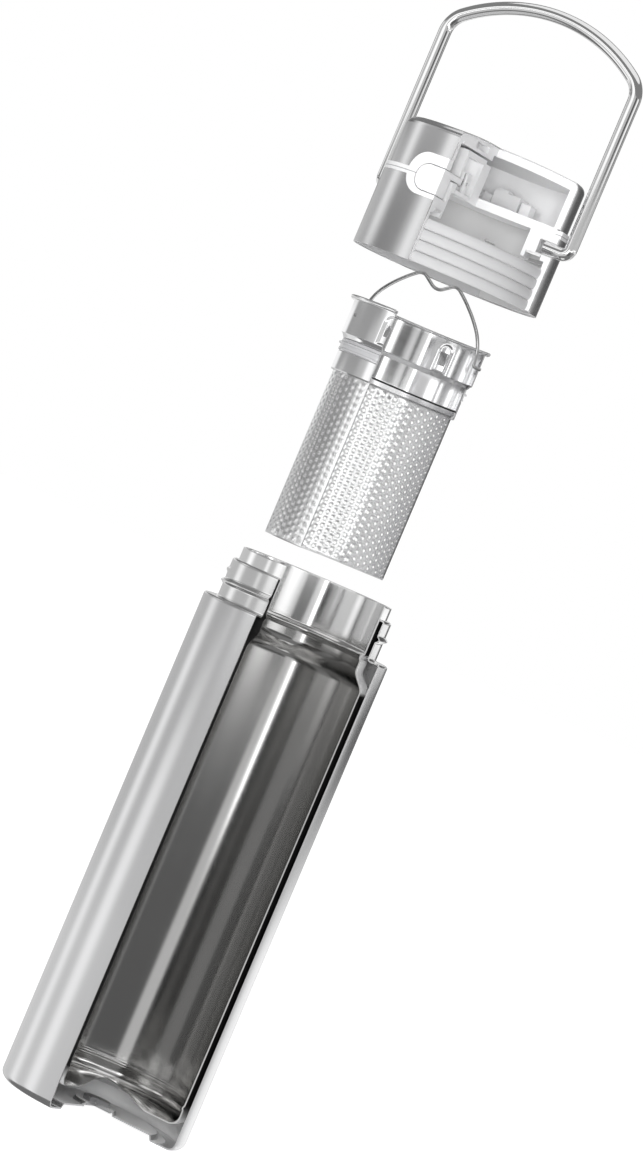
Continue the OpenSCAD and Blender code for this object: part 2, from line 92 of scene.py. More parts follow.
def arc(cx: float, cz: float, r: float, start: float, end: float, steps: int = 12) -> Path:
    """Points on an arc.

    Args:
        cx: Centre, away from the axis.
        cz: Centre's height.
        r: Radius.
        start: First angle in degrees.
        end: Last angle in degrees.
        steps: Number of steps.

    Returns:
        The points from the first angle to the last.
    """
    turns = np.radians(np.linspace(start, end, steps + 1))
    return [(cx + r * math.cos(t), cz + r * math.sin(t)) for t in turns]


def s_curve(start: tuple[float, float], end: tuple[float, float], steps: int = 24) -> Path:
    """A smooth step that starts and ends along the axis.

    Args:
        start: First point.
        end: Last point.
        steps: Number of steps.

    Returns:
        The points of the step.
    """
    share = np.linspace(0.0, 1.0, steps + 1)
    ease = (1 - np.cos(np.pi * share)) / 2
    return [
        (start[0] + (end[0] - start[0]) * e, start[1] + (end[1] - start[1]) * s)
        for s, e in zip(share, ease)
    ]


def line(start: tuple[float, float], end: tuple[float, float], step: float) -> Path:
    """Points along a straight line, about one step apart, both ends included.

    Args:
        start: First point.
        end: Last point.
        step: Length of a step.

    Returns:
        The points.
    """
    count = max(1, round(math.dist(start, end) / step))
    return [
        (start[0] + (end[0] - start[0]) * i / count, start[1] + (end[1] - start[1]) * i / count)
        for i in range(count + 1)
    ]


def cleaned(path: Path) -> Path:
    """The path without points that repeat the one before.

    Args:
        path: The path.

    Returns:
        The shorter path.
    """
    kept = [path[0]]
    for p in path[1:]:
        if math.dist(p, kept[-1]) > 1e-4:
            kept.append(p)
    return kept


def supported(path: Path, near: float = 0.25) -> Path:
    """The path with points close to both ends of every long step, so that corners stay local.

    Args:
        path: The path.
        near: How far from a step's end the added points lie, in mm.

    Returns:
        The longer path.
    """
    kept = [path[0]]
    for a, b in zip(path, path[1:]):
        length = math.dist(a, b)
        if length > 6 * near:
            for share in (near / length, 1 - near / length):
                kept.append((a[0] + (b[0] - a[0]) * share, a[1] + (b[1] - a[1]) * share))
        kept.append(b)
    return kept


def sheet(path: Path, wall: float) -> Path:
    """The closed outline of sheet metal whose one face follows a path.

    Args:
        path: The face's points.
        wall: Thickness, to the left of the path, or to its right where it is negative.

    Returns:
        The outline, with both edges of the sheet rounded.
    """
    p = np.array(supported(cleaned(path)), float)
    step = np.diff(p, axis=0)
    step /= np.linalg.norm(step, axis=1)[:, None]
    left = np.stack([-step[:, 1], step[:, 0]], axis=1)
    before = np.vstack([left[:1], left])
    after = np.vstack([left, left[-1:]])
    far = p + wall * (before + after) / (1 + (before * after).sum(axis=1))[:, None]

    def edge(a: np.ndarray, b: np.ndarray, out: np.ndarray) -> list[tuple[float, float]]:
        """A half round from a to b that bulges along out.

        Args:
            a: First point.
            b: Last point.
            out: Direction of the bulge.

        Returns:
            The points between the two.
        """
        mid, half, r = (a + b) / 2, (a - b) / 2, abs(wall) / 2
        turns = np.radians([30, 60, 90, 120, 150])
        return [tuple(mid + half * math.cos(t) + out * r * 0.6 * math.sin(t)) for t in turns]

    return (
        [tuple(q) for q in p]
        + edge(p[-1], far[-1], step[-1])
        + [tuple(q) for q in far[::-1]]
        + edge(far[0], p[0], -step[0])
    )


# Meshes


def piece(
    name: str, points: np.ndarray, faces: Sequence[Sequence[int]], finish: bpy.types.Material
) -> bpy.types.Object:
    """A closed, smooth-shaded mesh in the scene.

    Args:
        name: The piece's name.
        points: Points in mm.
        faces: Faces as point numbers.
        finish: The piece's material.

    Returns:
        The object, at the origin.
    """
    mesh = bpy.data.meshes.new(name)
    mesh.from_pydata((np.asarray(points, float) * MM).tolist(), [], [list(f) for f in faces])
    work = bmesh.new()
    work.from_mesh(mesh)
    bmesh.ops.remove_doubles(work, verts=work.verts, dist=1e-6)
    bmesh.ops.dissolve_degenerate(work, edges=work.edges, dist=1e-7)
    bmesh.ops.recalc_face_normals(work, faces=work.faces)
    work.to_mesh(mesh)
    work.free()
    return dressed(name, mesh, finish)


def dressed(
    name: str, mesh: bpy.types.Mesh, finish: bpy.types.Material, sharp: float = SHARP
) -> bpy.types.Object:
    """An object for a finished mesh, smooth-shaded except across its sharp edges.

    Args:
        name: The object's name.
        mesh: The mesh.
        finish: The material.
        sharp: Faces that meet at a larger angle than this, in degrees, keep their edge.

    Returns:
        The object, linked to the scene.
    """
    mesh.materials.clear()
    mesh.materials.append(finish)
    mesh.shade_smooth()
    mesh.set_sharp_from_angle(angle=math.radians(sharp))
    made = bpy.data.objects.new(name, mesh)
    bpy.context.scene.collection.objects.link(made)
    return made


def turned(
    outline: Path,
    lift: float = 0.0,
    segments: int = 180,
    shape: Callable[[np.ndarray, np.ndarray, np.ndarray], np.ndarray] | None = None,
    start: float = 0.0,
    end: float = CUT_TO,
) -> Solid:
    """A closed outline turned about the axis over the solid part.

    Args:
        outline: Closed outline as radius and height.
        lift: Added to every height.
        segments: Steps round the axis.
        shape: Gives new radii from angles in degrees, radii and heights.
        start: Where the solid part starts, in degrees.
        end: Where it ends.

    Returns:
        Points in mm and faces.
    """
    flat = np.array(cleaned(outline), float)
    count = len(flat)
    degrees = np.linspace(start, end, segments + 1)
    angle, radius = np.meshgrid(degrees, flat[:, 0], indexing="ij")
    height = np.broadcast_to(flat[:, 1], radius.shape)
    if shape is not None:
        radius = shape(angle, radius, height)
    turn = np.radians(angle)
    points = np.stack([radius * np.cos(turn), radius * np.sin(turn), height + lift], axis=-1)
    faces = []
    for i in range(segments):
        here, there = i * count, (i + 1) * count
        for j in range(count):
            k = (j + 1) % count
            faces.append([here + j, there + j, there + k, here + k])
    faces.append(list(range(count)))
    faces.append([segments * count + j for j in range(count)][::-1])
    return points.reshape(-1, 3), faces


def joined(parts: Sequence[Solid]) -> Solid:
    """Several point and face lists as one.

    Args:
        parts: Points and faces of each part.

    Returns:
        Points and faces of the whole.
    """
    points, faces, start = [], [], 0
    for p, f in parts:
        points.append(p)
        faces += [[k + start for k in face] for face in f]
        start += len(p)
    return np.vstack(points), faces


def rod(path: np.ndarray, radius: float, sides: int) -> Solid:
    """A round rod along a path that lies in one plane.

    Args:
        path: The centre line's points in mm.
        radius: The rod's radius.
        sides: Faces round the rod.

    Returns:
        Points in mm and faces, with both ends closed.
    """
    path = np.asarray(path, float)
    along = np.gradient(path, axis=0)
    along /= np.linalg.norm(along, axis=1)[:, None]
    normal = np.cross(path[0] - path[len(path) // 2], path[-1] - path[len(path) // 2])
    normal /= np.linalg.norm(normal)
    side = np.cross(along, normal)
    turn = np.radians(np.arange(sides) * 360.0 / sides)
    rings = (
        path[:, None, :]
        + radius * np.cos(turn)[None, :, None] * side[:, None, :]
        + radius * np.sin(turn)[None, :, None] * normal[None, None, :]
    )
    return tube(rings)


def tube(rings: np.ndarray) -> Solid:
    """A closed tube through rings of points, with both ends capped.

    Args:
        rings: One row of points for each ring.

    Returns:
        Its points and faces.
    """
    last, sides = len(rings) - 1, rings.shape[1]
    faces = []
    for i in range(last):
        here, there = i * sides, (i + 1) * sides
        for j in range(sides):
            k = (j + 1) % sides
            faces.append([here + j, here + k, there + k, there + j])
    faces += [list(range(sides)), [last * sides + k for k in range(sides)]]
    return rings.reshape(-1, 3), faces


def coil(
    low: Vector, high: Vector, wire: float, turns: int, steps: int = 28, sides: int = 10
) -> np.ndarray:
    """The rings of a coil spring that fills a box and winds about the front-to-back axis.

    Args:
        low: The box's lowest corner in mm.
        high: Its highest corner.
        wire: The wire's thickness.
        turns: Number of turns.
        steps: Steps in one turn.
        sides: Faces round the wire.

    Returns:
        One ring of points for each step.
    """
    a = np.linspace(0, 2 * math.pi * turns, turns * steps + 1)[:, None]
    b = np.linspace(0, 2 * math.pi, sides, endpoint=False)[None, :]
    reach = (high.x - low.x - wire) / 2 + wire / 2 * np.cos(b)
    along = low.y + wire / 2 + (high.y - low.y - wire) * a / a[-1] + wire / 2 * np.sin(b)
    middle = (low + high) / 2
    across, up = middle.x + reach * np.cos(a), middle.z - reach * np.sin(a)
    return np.stack([across, along, up], axis=-1)


# Node trees


class Nodes:
    """Adds and links nodes in one tree."""

    def __init__(self, tree: bpy.types.NodeTree) -> None:
        """Keeps the tree that the nodes go into."""
        self.tree = tree

    def add(self, kind: str, **settings: object) -> bpy.types.Node:
        """Adds a node and sets its options.

        Args:
            kind: The node's type.
            settings: Its options by name.

        Returns:
            The node.
        """
        node = self.tree.nodes.new(kind)
        for name, value in settings.items():
            setattr(node, name, value)
        return node

    def join(self, source: object, socket: bpy.types.NodeSocket) -> None:
        """Links a socket, or sets a plain value.

        Args:
            source: A socket or a plain value.
            socket: The input to link or set.
        """
        if isinstance(source, bpy.types.NodeSocket):
            self.tree.links.new(source, socket)
        else:
            socket.default_value = source

    def math(self, how: str, *terms: object, clamp: bool = False) -> bpy.types.NodeSocket:
        """The result of a Math node.

        Args:
            how: The node's operation.
            terms: Its numbers, as values or sockets.
            clamp: Keeps the result within 0 and 1.

        Returns:
            The result's socket.
        """
        node = self.add("ShaderNodeMath", operation=how, use_clamp=clamp)
        for term, socket in zip(terms, node.inputs):
            self.join(term, socket)
        return node.outputs[0]

    def times(self, a: object, b: object) -> bpy.types.NodeSocket:
        """The product of two numbers."""
        return self.math("MULTIPLY", a, b)

    def plus(self, a: object, b: object) -> bpy.types.NodeSocket:
        """The sum of two numbers."""
        return self.math("ADD", a, b)

    def minus(self, a: object, b: object) -> bpy.types.NodeSocket:
        """The difference of two numbers."""
        return self.math("SUBTRACT", a, b)

    def vector(self, how: str, *terms: object, scale: object = None) -> bpy.types.NodeSocket:
        """The vector result of a Vector Math node, or its number for a product or length.

        Args:
            how: The node's operation.
            terms: Its vectors, as values or sockets.
            scale: Its factor, where it has one.

        Returns:
            The result's socket.
        """
        node = self.add("ShaderNodeVectorMath", operation=how)
        for term, socket in zip(terms, node.inputs):
            self.join(term, socket)
        if scale is not None:
            self.join(scale, node.inputs["Scale"])
        return node.outputs["Value" if how in ("DOT_PRODUCT", "LENGTH") else "Vector"]

    def combine(self, x: object, y: object, z: object) -> bpy.types.NodeSocket:
        """A vector from three numbers.

        Args:
            x: The first number.
            y: The second number.
            z: The third number.

        Returns:
            The result's socket.
        """
        node = self.add("ShaderNodeCombineXYZ")
        for term, socket in zip((x, y, z), node.inputs):
            self.join(term, socket)
        return node.outputs[0]

    def separate(self, source: bpy.types.NodeSocket) -> list[bpy.types.NodeSocket]:
        """The three numbers of a vector.

        Args:
            source: The vector's socket.

        Returns:
            Three sockets.
        """
        node = self.add("ShaderNodeSeparateXYZ")
        self.join(source, node.inputs[0])
        return list(node.outputs)

    def mix(self, share: object, a: object, b: object, kind: str = "RGBA") -> bpy.types.NodeSocket:
        """A Mix node's result for colours, numbers or vectors.

        Args:
            share: How much of the second value there is.
            a: The first value.
            b: The second value.
            kind: RGBA, FLOAT or VECTOR.

        Returns:
            The result's socket.
        """
        node = self.add("ShaderNodeMix", data_type=kind)
        place = {"FLOAT": (2, 3, 0), "VECTOR": (4, 5, 1), "RGBA": (6, 7, 2)}[kind]
        self.join(share, node.inputs[0])
        self.join(a, node.inputs[place[0]])
        self.join(b, node.inputs[place[1]])
        return node.outputs[place[2]]

    def place(self) -> bpy.types.NodeSocket:
        """The shaded point's place on the object."""
        return self.add("ShaderNodeTexCoord").outputs["Object"]

    def outward(self) -> bpy.types.NodeSocket:
        """The direction away from the axis at the shaded point."""
        x, y, _ = self.separate(self.place())
        return self.vector("NORMALIZE", self.combine(x, y, 0.0))

    def normal(self) -> bpy.types.NodeSocket:
        """The surface's normal in the object's own frame.

        Returns:
            The result's socket.
        """
        turned_in = self.add(
            "ShaderNodeVectorTransform", vector_type="NORMAL", convert_from="WORLD", convert_to="OBJECT"
        )
        self.join(self.add("ShaderNodeNewGeometry").outputs["Normal"], turned_in.inputs[0])
        return turned_in.outputs[0]

    def noise(self, vector: bpy.types.NodeSocket, scale: object, detail: float) -> bpy.types.NodeSocket:
        """The level of a noise at a place.

        Args:
            vector: The place's socket.
            scale: Number of features in a metre.
            detail: Number of finer layers.

        Returns:
            The result's socket.
        """
        node = self.add("ShaderNodeTexNoise", noise_dimensions="3D")
        self.join(vector, node.inputs["Vector"])
        self.join(scale, node.inputs["Scale"])
        self.join(detail, node.inputs["Detail"])
        return node.outputs["Fac"]

    def bump(
        self, height: bpy.types.NodeSocket, strength: float, depth: float, base: bpy.types.NodeSocket | None
    ) -> bpy.types.NodeSocket:
        """A normal bent by a height, on a base normal where one is given.

        Args:
            height: The height's socket.
            strength: The node's strength.
            depth: The height of 1, in metres.
            base: The normal to bend, or None for the surface's own.

        Returns:
            The normal's socket.
        """
        node = self.add("ShaderNodeBump")
        self.join(strength, node.inputs["Strength"])
        self.join(depth, node.inputs["Distance"])
        self.join(height, node.inputs["Height"])
        if base is not None:
            self.join(base, node.inputs["Normal"])
        return node.outputs[0]

    def group(self, name: str, values: dict[str, object] | None = None) -> bpy.types.Node:
        """Places a shared node group with its own values.

        Args:
            name: The group's name.
            values: Its inputs by name, as values or sockets.

        Returns:
            The node.
        """
        node = self.add("ShaderNodeGroup", node_tree=bpy.data.node_groups[name])
        for label, value in (values or {}).items():
            self.join(value, node.inputs[label])
        return node

    def given(self) -> bpy.types.bpy_prop_collection:
        """The inputs of the group that the nodes are in."""
        return self.tree.nodes["In"].outputs

    def give(self, label: str, source: object) -> None:
        """Sets an output of the group that the nodes are in."""
        self.join(source, self.tree.nodes["Out"].inputs[label])

    def seen(self) -> bpy.types.NodeSocket:
        """1 for the camera's rays and for those of mirrors and glass, 0 for all others.

        Returns:
            The result's socket.
        """
        path = self.add("ShaderNodeLightPath").outputs
        mirrored = self.math("MAXIMUM", path["Is Camera Ray"], path["Is Glossy Ray"])
        return self.math("MAXIMUM", mirrored, path["Is Transmission Ray"])


def new_group(
    name: str, inputs: Sequence[tuple[str, str, object]], outputs: Sequence[tuple[str, str]]
) -> Nodes:
    """A shader node group with its sockets and its two end nodes.

    Args:
        name: The group's name.
        inputs: Name, socket kind and first value of each input.
        outputs: Name and socket kind of each output.

    Returns:
        The group's tree, whose end nodes are named In and Out.
    """
    tree = bpy.data.node_groups.new(name, "ShaderNodeTree")
    for label, kind, value in inputs:
        tree.interface.new_socket(label, in_out="INPUT", socket_type=kind).default_value = value
    for label, kind in outputs:
        tree.interface.new_socket(label, in_out="OUTPUT", socket_type=kind)
    nodes = Nodes(tree)
    nodes.add("NodeGroupInput", name="In")
    nodes.add("NodeGroupOutput", name="Out")
    return nodes


def true_round_group() -> bpy.types.ShaderNodeTree:
    """Makes the normals of turned faces follow the true circle, and leaves all other faces.

    Returns:
        The group's tree.
    """
    n = new_group("TrueRound", [], [("Normal", "NodeSocketVector")])
    out, flat = n.outward(), n.normal()
    rise = n.separate(flat)[2]
    level = n.math("SQRT", n.math("MAXIMUM", n.minus(1.0, n.times(rise, rise)), 0.0))
    radial = n.vector("DOT_PRODUCT", flat, out)
    # A cut face looks along the turning, a turned face within about 20 degrees of the radius
    is_round = n.math("GREATER_THAN", n.math("ABSOLUTE", radial), n.times(level, 0.93))
    smooth = n.vector(
        "ADD",
        n.vector("SCALE", out, scale=n.times(n.math("SIGN", radial), level)),
        n.combine(0.0, 0.0, rise),
    )
    chosen = n.mix(is_round, flat, smooth, "VECTOR")
    back = n.add("ShaderNodeVectorTransform", vector_type="NORMAL", convert_from="OBJECT", convert_to="WORLD")
    n.join(n.vector("NORMALIZE", chosen), back.inputs[0])
    n.give("Normal", back.outputs[0])
    return n.tree


def turning_grain_group() -> bpy.types.ShaderNodeTree:
    """Fine lines round the axis, as brushing or polishing on a lathe leaves, and soft smudges.

    Returns:
        The group's tree.
    """
    n = new_group(
        "TurningGrain",
        [("Lines per mm", FLOAT, 3.0), ("Smudge size mm", FLOAT, 30.0)],
        [("Lines", FLOAT), ("Smudges", FLOAT)],
    )
    given = n.given()
    x, y, z = n.separate(n.place())
    angle = n.math("ARCTAN2", y, x)
    lines = n.times(given["Lines per mm"], 1 / MM)
    radius = n.vector("LENGTH", n.combine(x, y, 0.0))
    # The noise is stretched round the axis, so that it reads as lines
    stretched = n.combine(n.times(angle, 2.0), n.times(radius, lines), n.times(z, lines))
    n.give("Lines", n.noise(stretched, 1.0, 3.0))
    n.give("Smudges", n.noise(n.place(), n.math("DIVIDE", 1 / MM, given["Smudge size mm"]), 2.0))
    return n.tree


# Where the painted light and shade of the vacuum space set in, from nothing to all of it, in mm
VACUUM_TOP = (200.0, 199.5)
PAINTED_LIGHT_SHOULDER_FROM, PAINTED_LIGHT_SHOULDER_TO = (172.5, 174.0), (186.5, 185.5)
PAINTED_LIGHT_RIGHT_FROM, PAINTED_LIGHT_BASE_BELOW = (8.0, 12.0), (16.0, 10.0)


def vacuum_painted_light_group() -> bpy.types.ShaderNodeTree:
    """Finds the unpolished faces in the vacuum space, and the painted light and shade of their colour.

    They get painted shade, nearly black, where the space is narrow, and painted light at its wide shoulder on
    the right and in the base.

    Returns:
        The group's tree.
    """
    n = new_group(
        "VacuumSidePaintedLight",
        [("Outward", FLOAT, -1.0), ("Upward", FLOAT, 0.0)],
        [("Mask", FLOAT), ("Level", FLOAT)],
    )
    given = n.given()
    x, _, z = n.separate(n.place())
    normal = n.normal()
    radial = n.times(n.vector("DOT_PRODUCT", normal, n.outward()), given["Outward"])
    faced = n.math("MULTIPLY_ADD", n.separate(normal)[2], given["Upward"], radial)

    def step(value: bpy.types.NodeSocket, from_mm: float, to_mm: float) -> bpy.types.NodeSocket:
        """Rises from 0 to 1 between two places."""
        slope = 1 / (to_mm - from_mm) / MM
        return n.math("MULTIPLY_ADD", value, slope, -from_mm * MM * slope, clamp=True)

    below_lip = step(z, *VACUUM_TOP)
    shoulder = n.times(step(z, *PAINTED_LIGHT_SHOULDER_FROM), step(z, *PAINTED_LIGHT_SHOULDER_TO))
    on_right, in_base = step(x, *PAINTED_LIGHT_RIGHT_FROM), step(z, *PAINTED_LIGHT_BASE_BELOW)
    # Painted light at the wide shoulder on the right and in the base, painted shade, nearly black, on the
    # rest of the vacuum side
    light = n.math("MAXIMUM", n.times(shoulder, on_right), in_base)
    n.give("Mask", n.times(n.math("MULTIPLY_ADD", faced, 6.0, -1.2, clamp=True), below_lip))
    n.give("Level", n.math("MULTIPLY_ADD", light, 0.93, 0.02))
    return n.tree


def bore_group() -> bpy.types.ShaderNodeTree:
    """Finds the faces that look at the axis, as the walls of a turned or moulded bore do.

    Returns:
        The group's tree.
    """
    n = new_group("Bore", [], [("Mask", FLOAT)])
    radial = n.vector("DOT_PRODUCT", n.normal(), n.outward())
    # Nothing at 0.85 inward, so that chamfers keep their colour, and all of it at 0.95
    n.give("Mask", n.math("MULTIPLY_ADD", radial, -10.0, -8.5, clamp=True))
    return n.tree


PANEL_SIZES = ("Centre", "Half Width", "Edge", "Low", "High", "Fade")


def soft_panel_group() -> bpy.types.ShaderNodeTree:
    """The mask of one panel of the light tent, with soft edges.

    Returns:
        The group's tree.
    """
    n = new_group(
        "SoftPanel", [(name, FLOAT, 0.0) for name in ("Angle", "Height", *PANEL_SIZES)], [("Mask", FLOAT)]
    )
    given = n.given()
    away = n.math("ABSOLUTE", n.math("WRAP", n.minus(given["Angle"], given["Centre"]), 180.0, -180.0))
    across = n.math("DIVIDE", n.minus(given["Half Width"], away), given["Edge"])
    above = n.math("DIVIDE", n.minus(given["Height"], given["Low"]), given["Fade"])
    under = n.math("DIVIDE", n.minus(given["High"], given["Height"]), given["Fade"])
    mask = None
    for share in (across, above, under):
        inside = n.math("ADD", share, 0.5, clamp=True)
        eased = n.times(n.times(inside, inside), n.math("MULTIPLY_ADD", inside, -2.0, 3.0))
        mask = eased if mask is None else n.times(mask, eased)
    n.give("Mask", mask)
    return n.tree


def moulded_group() -> bpy.types.ShaderNodeTree:
    """The very fine spark-eroded texture and slow thickness changes of a moulded plastic part.

    Returns:
        The group's tree.
    """
    n = new_group(
        "Moulded",
        [("Texture size mm", FLOAT, 0.25)],
        [("Texture", FLOAT), ("Cloud", FLOAT)],
    )
    place = n.place()
    n.give("Texture", n.noise(place, n.math("DIVIDE", 1 / MM, n.given()["Texture size mm"]), 2.0))
    n.give("Cloud", n.noise(place, 70.0, 1.0))
    return n.tree


# Finishes


class Turning(Enum):
    """How a piece was made: in flat faces round the axis, truly round, or from drawn wire."""

    FACETED = "faceted"
    SMOOTH = "smooth"
    WIRE = "wire"


POLISH_PAINTED_LIGHT_LEVEL, POLISHED_ROUGH = 0.84, 0.1  # the polished part of a piece that has one: its colour, lightened as painted light, and its roughness
VACUUM_ROUGH = 0.5
GRAIN_DEPTH, TEXTURE_DEPTH = 0.02 * MM, 0.03 * MM
SLIT_SHADE_HALF = 0.16 * MM  # half the width of the painted shade line for the slit round the trim ring
SLIT_SHADE_COLOUR = (0.42, 0.42, 0.43, 1.0)


@dataclass(frozen=True)
class Steel:
    """A stainless steel finish, brushed or polished round the axis.

    The lines are counted in a mm. The two numbers of vacuum are the shares of a face's outward and
    upward direction that tell the vacuum side, whose colour carries painted light and shade. Above the
    polished height, given in mm, the piece is smoother and its colour is lightened with painted light.
    """

    name: str
    colour: tuple[float, float, float]
    rough: float
    rough_change: float
    grain: float
    lines: float
    turning: Turning
    vacuum: tuple[float, float] | None = None
    polish_and_painted_light_above: float | None = None

    def material(self) -> bpy.types.Material:
        """Makes the material.

        Returns:
            The material.
        """
        made, n, shader = new_material(self.name)
        grain = n.group("TurningGrain", {"Lines per mm": self.lines}).outputs
        tint = n.mix(grain["Smudges"], scaled(self.colour, 0.96), scaled(self.colour, 1.04))
        if self.turning is Turning.WIRE:
            spread = n.minus(n.times(grain["Smudges"], 2.0), 1.0)
        else:
            spread = n.minus(n.plus(grain["Lines"], grain["Smudges"]), 1.0)
        rough = n.math("MULTIPLY_ADD", spread, self.rough_change, self.rough)
        if self.polish_and_painted_light_above is not None:
            height = n.separate(n.place())[2]
            # The polish, with the painted light in its colour, sets in over 2 mm
            above = n.math("MULTIPLY_ADD", height, 0.5 / MM, -0.5 * self.polish_and_painted_light_above, clamp=True)
            tint = n.mix(above, tint, grey(POLISH_PAINTED_LIGHT_LEVEL))
            rough = n.mix(above, rough, POLISHED_ROUGH, "FLOAT")
        if self.vacuum is None:
            shader.inputs["Metallic"].default_value = 1.0
        else:
            outward, upward = self.vacuum
            # The vacuum side is unpolished, and its colour is painted light and shade: nearly black in the
            # narrow gap, light at the right shoulder and in the base
            side = n.group("VacuumSidePaintedLight", {"Outward": outward, "Upward": upward}).outputs
            mask, level = side["Mask"], side["Level"]
            tint = n.mix(mask, tint, n.combine(level, level, level))
            rough = n.mix(mask, rough, VACUUM_ROUGH, "FLOAT")
            n.join(n.math("MULTIPLY_ADD", mask, -0.95, 1.0), shader.inputs["Metallic"])
        n.join(tint, shader.inputs["Base Color"])
        n.join(rough, shader.inputs["Roughness"])
        if self.turning is Turning.WIRE:
            return made
        base = n.group("TrueRound").outputs["Normal"] if self.turning is Turning.FACETED else None
        n.join(n.bump(grain["Lines"], self.grain, GRAIN_DEPTH, base), shader.inputs["Normal"])
        return made


@dataclass(frozen=True)
class Moulding:
    """A moulded plastic or rubber finish.

    The texture's size and the height of the slit's painted shade line are in mm, and bore is the grey
    level of the painted shade on the faces that look at the axis.
    """

    name: str
    colour: tuple[float, float, float]
    rough: float
    texture: float
    texture_size: float
    scatter: float = 0.0
    slit_shade_height: float | None = None
    bore: float | None = None

    def material(self) -> bpy.types.Material:
        """Makes the material.

        Returns:
            The material.
        """
        made, n, shader = new_material(self.name)
        moulded = n.group("Moulded", {"Texture size mm": self.texture_size}).outputs
        tint = n.mix(moulded["Cloud"], scaled(self.colour, 0.985), scaled(self.colour, 1.015))
        # Painted shade: faces that look at the axis are greyed to the bore level
        if self.bore is not None:
            tint = n.mix(n.group("Bore").outputs["Mask"], tint, grey(self.bore))
        # A thin line of painted shade stands for the slit round the trim ring
        if self.slit_shade_height is not None:
            off = n.math("ABSOLUTE", n.minus(n.separate(n.place())[2], self.slit_shade_height * MM))
            tint = n.mix(n.math("LESS_THAN", off, SLIT_SHADE_HALF), tint, SLIT_SHADE_COLOUR)
        n.join(tint, shader.inputs["Base Color"])
        n.join(n.math("MULTIPLY_ADD", moulded["Texture"], 0.1, self.rough - 0.05), shader.inputs["Roughness"])
        shader.inputs["Subsurface Weight"].default_value = self.scatter
        shader.inputs["Subsurface Radius"].default_value = (0.9, 0.9, 0.9)
        shader.inputs["Subsurface Scale"].default_value = 0.002
        base = n.group("TrueRound").outputs["Normal"]
        n.join(n.bump(moulded["Texture"], self.texture, TEXTURE_DEPTH, base), shader.inputs["Normal"])
        return made


def grey(level: float) -> tuple[float, float, float, float]:
    """A grey with its alpha."""
    return (level, level, level, 1.0)


def scaled(colour: tuple[float, float, float], share: float) -> tuple[float, float, float, float]:
    """A colour made lighter or darker, with its alpha."""
    return (*(min(1.0, c * share) for c in colour), 1.0)


def new_material(name: str) -> tuple[bpy.types.Material, Nodes, bpy.types.Node]:
    """A material with its node helper and its shader.

    Args:
        name: The material's name.

    Returns:
        The material, its node helper and its Principled shader.
    """
    made = bpy.data.materials.new(name)
    made.use_nodes = True
    nodes = Nodes(made.node_tree)
    return made, nodes, made.node_tree.nodes["Principled BSDF"]


# The values of each finish stand in the order of its fields
FINISHES: dict[str, Steel | Moulding] = {
    finish.name: finish
    for finish in (
        Steel("shell_steel", (0.68, 0.68, 0.685), 0.2, 0.03, 0.1, 3.0, Turning.SMOOTH, (-1.0, 0.0)),
        Steel("sleeve_steel", (0.68, 0.68, 0.685), 0.2, 0.03, 0.1, 3.0, Turning.FACETED),
        Steel("base_steel", (0.68, 0.68, 0.685), 0.25, 0.03, 0.1, 3.0, Turning.SMOOTH, (-1.0, 1.0)),
        Steel("neck_steel", (0.74, 0.74, 0.74), 0.14, 0.03, 0.05, 2.0, Turning.SMOOTH, (-1.0, -0.5)),
        Steel("vessel_steel", (0.7, 0.697, 0.69), 0.12, 0.03, 0.03, 1.5, Turning.SMOOTH, (1.4, -0.5), 186.5),
        Steel("infuser_steel", (0.9, 0.9, 0.905), 0.1, 0.03, 0.03, 2.0, Turning.SMOOTH),
        Steel("ring_steel", (0.85, 0.85, 0.855), 0.12, 0.03, 0.03, 2.0, Turning.FACETED),
        Steel("basket_steel", (0.84, 0.84, 0.845), 0.22, 0.04, 0.03, 2.0, Turning.SMOOTH),
        Steel("rod_steel", (0.8, 0.8, 0.8), 0.09, 0.03, 0.0, 1.0, Turning.WIRE),
        Steel("wire_steel", (0.6, 0.6, 0.6), 0.12, 0.03, 0.0, 1.0, Turning.WIRE),
        Steel("bush_steel", (0.78, 0.78, 0.78), 0.35, 0.05, 0.05, 4.0, Turning.FACETED),
        Steel("seal_metal", (0.6, 0.6, 0.61), 0.35, 0.05, 0.05, 2.0, Turning.FACETED),
        Moulding("joint_shadow", (0.02, 0.02, 0.02), 0.6, 0.0, 0.4, 0.02),
        Moulding("white_plastic", (0.9, 0.9, 0.905), 0.34, 0.06, 0.25, 0.15),
        # The core's bores are greyed with painted shade
        Moulding("core_plastic", (0.9, 0.9, 0.905), 0.34, 0.06, 0.25, 0.1, None, 0.62),
        # The thread ribs' white plastic is greyed to 0.54 as painted shade
        Moulding("thread_painted_shade_plastic", (0.54, 0.54, 0.545), 0.4, 0.06, 0.25, 0.1),
        # The trim ring carries a painted shade line for its slit at this height
        Moulding("trim_plastic", (0.9, 0.9, 0.905), 0.3, 0.05, 0.25, 0.15, 347.5),
        Moulding("silicone", (0.82, 0.82, 0.82), 0.5, 0.1, 0.4, 0.2),
        Moulding("clear_silicone", (0.5, 0.5, 0.51), 0.25, 0.04, 0.4, 0.3),
    )
}


class Finishes:
    """Makes each finish once and hands it out."""

    def __init__(self) -> None:
        """Builds the shared node groups."""
        true_round_group()
        turning_grain_group()
        vacuum_painted_light_group()
        moulded_group()
        bore_group()
        self.made: dict[str, bpy.types.Material] = {}

    def get(self, name: str) -> bpy.types.Material:
        """The finish with that name.

        Args:
            name: The finish's name.

        Returns:
            Its material, made when first asked for.
        """
        if name not in self.made:
            self.made[name] = FINISHES[name].material()
        return self.made[name]

    def dress(self, nodes: dict[str, bpy.types.Object], names: Sequence[str], finish: str) -> None:
        """Gives CAD nodes a finish.

        Args:
            nodes: The CAD nodes' objects by name.
            names: The nodes to dress.
            finish: The finish's name.
        """
        for name in names:
            mesh = nodes[name].data
            mesh.materials.clear()
            mesh.materials.append(self.get(finish))


